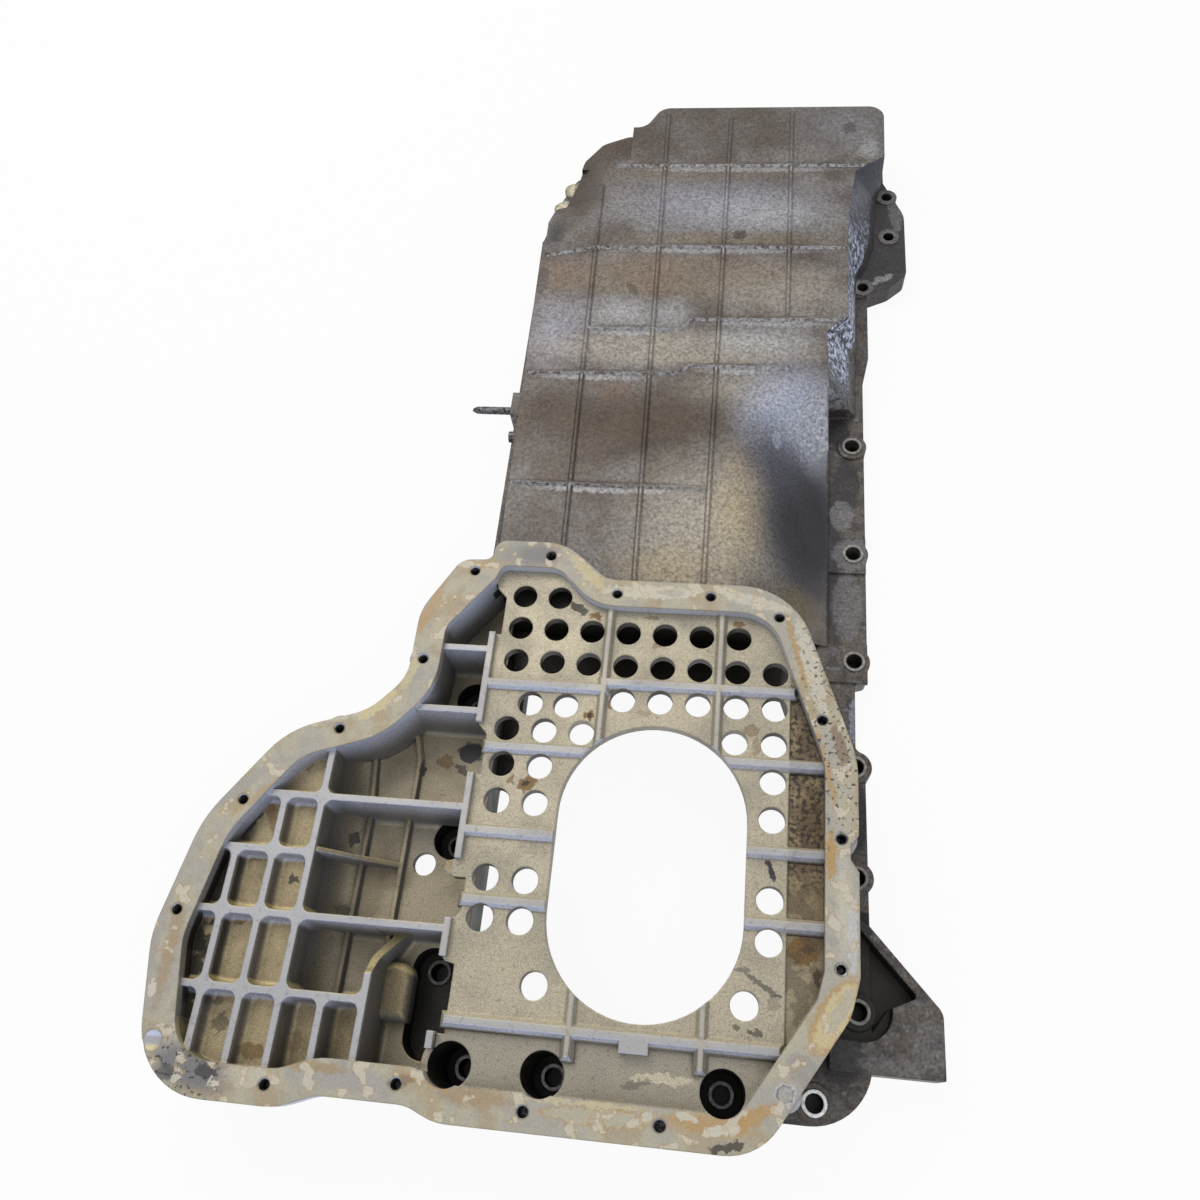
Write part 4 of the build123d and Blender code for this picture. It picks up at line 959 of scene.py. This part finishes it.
    def flange(self, coat: Coat, zone: dict[str, Socket]) -> None:
        """Dried sealant film in ragged islands on the machined flange.

        Args:
            coat: The finish being grown.
            zone: Masks of the areas, and the random fields.
        """
        flange = zone["flange"]
        coat.lay(Tone.SEALANT, flange)
        broad = coat.grain(self.film_lump_mm, 5.0)
        coat.lay(Tone.FILM_GREY, flange, coat.ramp(broad, 0.46, 0.6), 0.6)
        coat.lay(Tone.FILM_BROWN, flange, coat.ramp(broad, 0.5, 0.38), 0.6)
        coat.lay(Tone.BARE, flange, coat.ramp(zone["streak"], 0.44, 0.36), 0.35)
        coat.lay_patches(FLANGE_PATCHES, flange)
        coat.lay(Tone.TAN, flange, coat.ramp(zone["streak"], 0.56, 0.59), 0.4)
        coat.lay(Tone.SEALANT_PALE, flange, coat.ramp(zone["streak"], 0.595, 0.62), 0.75)
        dark_side = coat.either(
            coat.both(coat.ramp(coat.x, 60, 85), coat.ramp(coat.y, 90, 140)),
            coat.both(coat.ramp(coat.x, -180, -200), coat.ramp(coat.y, 10, -5)))
        specks = coat.both(coat.ramp(coat.grain(2.2, 4.0), 0.58, 0.64), dark_side)
        coat.lay(Tone.SOOT, flange, specks, 0.85)

    def build(self) -> bpy.types.Material:
        """Grows the whole finish.

        Returns:
            The material.
        """
        coat = Coat("cast_aluminium_with_dried_sealant_and_oil")
        coat.round_edges(self.edge_mm)
        fine = coat.grain(self.grain_mm, 3.0)
        sand = coat.grain(self.sand_mm, 4.0)
        cloud = coat.grain(self.cloud_mm, 4.0)
        coat.tear(self.tooth_mm, self.stray_mm)
        zone = self.zones(coat)
        zone.update(fine=fine, cloud=cloud, streak=coat.grain(self.streak_mm, 5.0))
        self.colour(coat, zone)

        # Painted shade with oil dirt: darker where ambient occlusion is low, in corners and recesses
        shut = add_node(
            coat.tree, "ShaderNodeAmbientOcclusion", {"Distance": self.shade_and_grime_mm * MM}, samples=4,
            only_local=True)
        not_flange = add_node(
            coat.tree, "ShaderNodeMath", {0: 1.0, 1: coat.either(zone["flange"], zone["seat"])},
            operation="SUBTRACT").outputs[0]
        crevice_shade_and_grime = coat.ramp(shut.outputs["AO"], 0.55, 0.1)
        coat.lay(Tone.OIL, crevice_shade_and_grime, not_flange, coat.blend(0.5, 0.25, zone["roof"]))
        pores = coat.ramp(coat.grain(self.pore_mm, 4.0), 0.58, 0.68)
        coat.lay(Tone.ROOF_BAND, pores, not_flange, 0.25)
        smooth = coat.either(zone["flange"], coat.ramp(coat.z, RIB_TOP_Z - 1, RIB_TOP_Z - 0.3))
        fine_shade, rough_shade = [
            add_node(
                coat.tree, "ShaderNodeMapRange", {0: field, 1: 0.3, 2: 0.7, 3: darkest, 4: brightest},
                clamp=False).outputs[0]
            for field, darkest, brightest in ((fine, 0.7, 1.3), (sand, 0.45, 1.5))
        ]
        rough = coat.either(zone["rail"], zone["roof"])
        shade = coat.blend(fine_shade, rough_shade, coat.both(rough, 0.8))
        shade = coat.blend(shade, 1.0, coat.both(smooth, 0.6))
        colour = add_node(
            coat.tree, "ShaderNodeMix", {0: 1.0, 6: coat.colour, 7: shade}, data_type="RGBA",
            blend_type="MULTIPLY").outputs[2]

        film = coat.both(zone["flange"], 0.8)
        metallic = coat.blend(self.metallic, self.film_metallic, film)
        skin = coat.blend(*self.roughness, coat.ramp(cloud, 0.3, 0.7))
        roughness = coat.blend(skin, self.film_roughness, film)
        height = coat.blend(fine, coat.grain(3.4, 2.0), coat.both(not_flange, 0.35))
        relief = add_node(
            coat.tree, "ShaderNodeBump",
            {"Height": height, "Distance": self.relief_mm * MM, "Normal": coat.rounded})
        return coat.finish({
            "Base Color": colour, "Metallic": metallic, "Roughness": roughness,
            "Normal": relief.outputs[0]})


@dataclass(frozen=True)
class OilBlackSteel:
    """Zinc-plated steel darkened by oil: a dull dark grey with brown in the low places."""

    name: str = "oil_blackened_zinc_plated_steel"
    light: Tone = Tone.BARE_DARK
    dark: Tone = Tone.SOOT
    lump_mm: float = 1.6
    metallic: float = 0.7
    roughness: float = 0.45
    relief_mm: float = 0.05

    def build(self) -> bpy.types.Material:
        """Grows the finish.

        Returns:
            The material.
        """
        coat = Coat(self.name)
        patchy = coat.ramp(coat.grain(self.lump_mm, 4.0), 0.35, 0.65)
        colour = coat.mix(patchy, linear(self.dark.value), linear(self.light.value))
        relief = add_node(
            coat.tree, "ShaderNodeBump", {"Height": patchy, "Distance": self.relief_mm * MM})
        return coat.finish({
            "Base Color": colour, "Metallic": self.metallic, "Roughness": self.roughness,
            "Normal": relief.outputs[0]})


@dataclass(frozen=True)
class Thread:
    """Helical thread ridge round an upright or lying axis.

    Attributes:
        root: Radius where the ridge starts.
        crest: Radius of its edge; inside the root for a tapped hole.
        pitch: Rise of one turn.
        length: Threaded length.
        steps: Straight pieces in one turn.
    """

    root: float
    crest: float
    pitch: float
    length: float
    steps: int = 20

    def add_to(self, points: list[Vector], faces: list[tuple[int, ...]], seat: Matrix) -> None:
        """Adds the ridge to a mesh's points and faces.

        Args:
            points: Mesh points, in metres.
            faces: Mesh faces.
            seat: Place of the ridge's start, with its axis along local Z.
        """
        turns = self.length / self.pitch
        count = int(turns * self.steps)
        start = len(points)
        for step in range(count + 1):
            angle = step * 2 * math.pi / self.steps
            rise = step * self.pitch / self.steps
            around = Vector((math.cos(angle), math.sin(angle), 0))
            for radius, lift in ((self.root, -THREAD_FOOT), (self.crest, 0.0), (self.root, THREAD_FOOT)):
                local = around * radius + Vector((0, 0, rise + lift * self.pitch))
                points.append(seat @ (local * MM))
        for step in range(count):
            a = start + step * 3
            faces.append((a, a + 3, a + 4, a + 1))
            faces.append((a + 1, a + 4, a + 5, a + 2))


def ring(radius: float, sides: int) -> list[Vector]:
    """Points of a flat ring round the Z axis.

    Args:
        radius: Its radius, in millimetres.
        sides: How many points it has.

    Returns:
        The points, in metres.
    """
    angles = [step * 2 * math.pi / sides for step in range(sides)]
    return [Vector((math.cos(angle), math.sin(angle), 0)) * (radius * MM) for angle in angles]


def place_mesh(name: str, points: list[Vector], faces: list[tuple[int, ...]],
               finish: bpy.types.Material) -> bpy.types.Object:
    """Puts a mesh in the scene.

    Args:
        name: Name of the object.
        points: Mesh points, in metres.
        faces: Mesh faces.
        finish: Its material.

    Returns:
        The object.
    """
    mesh = bpy.data.meshes.new(name)
    mesh.from_pydata(points, [], faces)
    mesh.validate()
    mesh.materials.append(finish)
    placed = bpy.data.objects.new(name, mesh)
    bpy.context.collection.objects.link(placed)
    return placed


def add_piece(name: str, points: list[Vector], faces: list[tuple[int, ...]],
              finish: bpy.types.Material) -> bpy.types.Object:
    """Makes a piece that rides with the casting.

    Args:
        name: Name of the piece.
        points: Mesh points, in metres.
        faces: Mesh faces.
        finish: Its material.

    Returns:
        The piece.
    """
    piece = place_mesh(name, points, faces, finish)
    for face in piece.data.polygons:
        face.use_smooth = True
    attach(piece, BODY)
    LOG.info("%s: %d faces", name, len(faces))
    return piece


@dataclass
class SumpThreads:
    """Threads and old oil in the tapped holes of the sump flange, and a torn scrap of wire."""

    radius: float = 2.6
    depth: float = 9.0
    pitch: float = 1.0
    mouth: float = 0.9
    clearance: float = 0.02
    ridge: float = 0.42
    broken_at: tuple[float, float] = (92.7, 56.4)
    wire_depth: float = 1.1

    def build(self, steel: bpy.types.Material) -> bpy.types.Object:
        """Builds every hole's thread and the oil under it.

        Args:
            steel: Finish of the oily thread.

        Returns:
            The piece.
        """
        points: list[Vector] = []
        faces: list[tuple[int, ...]] = []
        root = self.radius + self.clearance
        thread = Thread(root, self.radius - self.ridge, self.pitch, self.depth - self.mouth)
        for x, y in SUMP_HOLES:
            seat = Matrix.Translation(Vector((x, y, FLANGE_Z - self.depth)) * MM)
            thread.add_to(points, faces, seat)
            faces.append(tuple(range(len(points), len(points) + thread.steps)))
            points.extend(seat @ point for point in ring(root, thread.steps))
        return add_piece("sump_hole_threads", points, faces, steel)

    def build_broken_wire(self, steel: bpy.types.Material) -> bpy.types.Object:
        """Builds the bright loose coil of wire in one worn hole.

        Args:
            steel: Finish of the wire.

        Returns:
            The piece.
        """
        points: list[Vector] = []
        faces: list[tuple[int, ...]] = []
        wire = Thread(root=self.radius + 0.1, crest=self.radius - 0.5, pitch=0.5, length=0.8, steps=24)
        seat = Matrix.Translation(Vector((*self.broken_at, FLANGE_Z - self.wire_depth)) * MM)
        wire.add_to(points, faces, seat)
        return add_piece("broken_wire_coil", points, faces, steel)


@dataclass
class StudThread:
    """Thread of the stud on the left side."""

    y: float = 391.0
    z: float = 27.0
    start_x: float = -114.0
    length: float = 19.0
    radius: float = 2.4
    pitch: float = 0.8
    clearance: float = 0.02
    ridge: float = 0.22
    steps: int = 16

    def build(self, steel: bpy.types.Material) -> bpy.types.Object:
        """Builds the stud's thread.

        Args:
            steel: Its finish.

        Returns:
            The piece.
        """
        points: list[Vector] = []
        faces: list[tuple[int, ...]] = []
        thread = Thread(
            self.radius - self.clearance, self.radius + self.ridge, self.pitch, self.length, self.steps)
        seat = Matrix.Translation(Vector((self.start_x, self.y, self.z)) * MM)
        thread.add_to(points, faces, seat @ Matrix.Rotation(math.radians(-90), 4, "Y"))
        return add_piece("stud_thread", points, faces, steel)


@dataclass
class Studio:
    """White floor, soft lamps and the photograph's camera."""

    pitch_deg: float = -25.752
    roll_deg: float = -7.773
    yaw_deg: float = -6.174
    camera_at: tuple[float, float, float] = (32.596, -8.74, 572.105)
    sensor: float = 36.0
    lens: float = 31.05
    clip_start: float = 0.01
    aim: tuple[float, float, float] = (-0.03, 0.28, 0.03)
    ambient: float = 0.5
    floor_half: float = 4000.0
    floor_level: float = -0.4
    floor_glow: float = 0.93
    floor_hex: str = "#f4f4f4"
    spot_level: float = -0.2
    spot_radius: float = 7.0
    spot_sides: int = 20

    def add_camera(self) -> None:
        """Sets the camera from the view that was solved from the photograph."""
        turn = (
            Matrix.Rotation(math.radians(self.yaw_deg), 3, "Z")
            @ Matrix.Rotation(math.radians(self.pitch_deg), 3, "X")
            @ Matrix.Rotation(math.radians(self.roll_deg), 3, "Y"))
        lens = bpy.data.cameras.new("camera")
        lens.sensor_width = self.sensor
        lens.lens = self.lens
        lens.clip_start = self.clip_start
        camera = bpy.data.objects.new("camera", lens)
        camera.matrix_world = Matrix.Translation(Vector(self.camera_at) * MM) @ turn.transposed().to_4x4()
        bpy.context.collection.objects.link(camera)
        bpy.context.scene.camera = camera

    def add_lamp(self, name: str, place: tuple[float, float, float], size: float, level: float,
                 hex_colour: str) -> None:
        """Adds one soft square lamp aimed at the pan.

        Args:
            name: Name of the lamp.
            place: Where it stands, in metres.
            size: Side of the square, in metres.
            level: Share of a white surface's brightness that it gives.
            hex_colour: Its tint.
        """
        away = Vector(place) - Vector(self.aim)
        light = bpy.data.lights.new(name, "AREA")
        light.size = size
        light.energy = level * math.pi ** 2 * away.length_squared
        light.color = linear(hex_colour)[:3]
        lamp = bpy.data.objects.new(name, light)
        lamp.location = place
        lamp.rotation_euler = away.to_track_quat("Z", "Y").to_euler()
        bpy.context.collection.objects.link(lamp)

    def seen_directly(self, tree: bpy.types.NodeTree) -> Socket:
        """Mask of the rays that show a surface itself: the camera's, mirrored ones and ones let through.

        Args:
            tree: Node tree that gets the mask.

        Returns:
            The mask.
        """
        path = add_node(tree, "ShaderNodeLightPath")
        seen = path.outputs["Is Camera Ray"]
        for name in ("Is Glossy Ray", "Is Transmission Ray"):
            seen = add_node(
                tree, "ShaderNodeMath", {0: seen, 1: path.outputs[name]}, operation="MAXIMUM").outputs[0]
        return seen

    def add_world(self) -> None:
        """Lights all round, and shows white to the camera and in reflections."""
        world = bpy.data.worlds.new("studio")
        world.use_nodes = True
        tree = world.node_tree
        tree.nodes.clear()
        strength = add_node(
            tree, "ShaderNodeMix", {0: self.seen_directly(tree), 2: self.ambient, 3: 1.0},
            data_type="FLOAT")
        white = linear(Tone.WHITE.value)
        light = add_node(tree, "ShaderNodeBackground", {0: white, 1: strength.outputs[0]})
        add_node(tree, "ShaderNodeOutputWorld", {0: light.outputs[0]})
        bpy.context.scene.world = world

    def paper(self) -> bpy.types.Material:
        """White paper that shows white but keeps a faint shadow.

        Returns:
            The material.
        """
        material = bpy.data.materials.new("white_paper")
        material.use_nodes = True
        tree = material.node_tree
        tree.nodes.clear()
        share = add_node(
            tree, "ShaderNodeMath", {0: self.seen_directly(tree), 1: self.floor_glow},
            operation="MULTIPLY").outputs[0]
        matt = add_node(tree, "ShaderNodeBsdfDiffuse", {0: linear(self.floor_hex)})
        glow = add_node(tree, "ShaderNodeEmission", {0: linear(Tone.WHITE.value), 1: 1.0})
        both = add_node(tree, "ShaderNodeMixShader", {0: share, 1: matt.outputs[0], 2: glow.outputs[0]})
        add_node(tree, "ShaderNodeOutputMaterial", {0: both.outputs[0]})
        return material

    def add_floor(self) -> None:
        """Lays the floor, and a dark spot on it under each bolt hole."""
        half = self.floor_half
        corners = [
            Vector((x, y, self.floor_level)) * MM
            for x, y in ((-half, -half), (half, -half), (half, half), (-half, half))
        ]
        floor = place_mesh("floor", corners, [(0, 1, 2, 3)], self.paper())

        points: list[Vector] = []
        faces: list[tuple[int, ...]] = []
        for x, y in BLOCK_BOLTS:
            middle = Vector((x, y, self.spot_level)) * MM
            faces.append(tuple(range(len(points), len(points) + self.spot_sides)))
            points.extend(middle + point for point in ring(self.spot_radius, self.spot_sides))
        dark = OilBlackSteel(name="shadow_under_bolt_holes", light=Tone.OIL, metallic=0.0).build()
        shadows = place_mesh("hole_shadows", points, faces, dark)

    def build(self) -> None:
        """Sets the whole studio."""
        self.add_camera()
        self.add_world()
        self.add_floor()
        self.add_lamp("key", place=(-0.55, 0.95, 1.25), size=0.9, level=0.42, hex_colour="#fffaf2")
        self.add_lamp("fill", place=(0.5, -0.6, 1.0), size=0.8, level=0.16, hex_colour="#f3f6ff")
        bpy.context.scene.view_settings.view_transform = "Standard"


def dress(node: bpy.types.Object, finish: bpy.types.Material) -> None:
    """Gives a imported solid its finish.

    Args:
        node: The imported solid.
        finish: Its material.
    """
    for slot in node.material_slots:
        slot.material = finish
    LOG.info("%s: %s", node.name, finish.name)


def main() -> None:
    """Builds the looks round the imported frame."""
    logging.basicConfig(level=logging.INFO, format="%(name)s %(message)s")
    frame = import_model()
    nodes = frame["nodes"]

    black_steel = OilBlackSteel().build()
    bright_steel = OilBlackSteel(
        name="bright_spring_steel", light=Tone.BARE_BRIGHT, dark=Tone.BARE,
        metallic=0.9, roughness=0.3).build()
    ground_steel = OilBlackSteel(
        name="ground_dowel_steel", light=Tone.FILM_GREY, dark=Tone.BARE, metallic=0.5, roughness=0.4).build()

    dress(nodes["pan_casting"], OilyCastAluminium().build())
    dress(nodes["wall_stud"], black_steel)
    dress(nodes["side_screw"], black_steel)
    dress(nodes["flange_dowel"], ground_steel)

    threads = SumpThreads()
    threads.build(black_steel)
    threads.build_broken_wire(bright_steel)
    StudThread().build(black_steel)
    Studio().build()


if __name__ == "__main__":
    main()
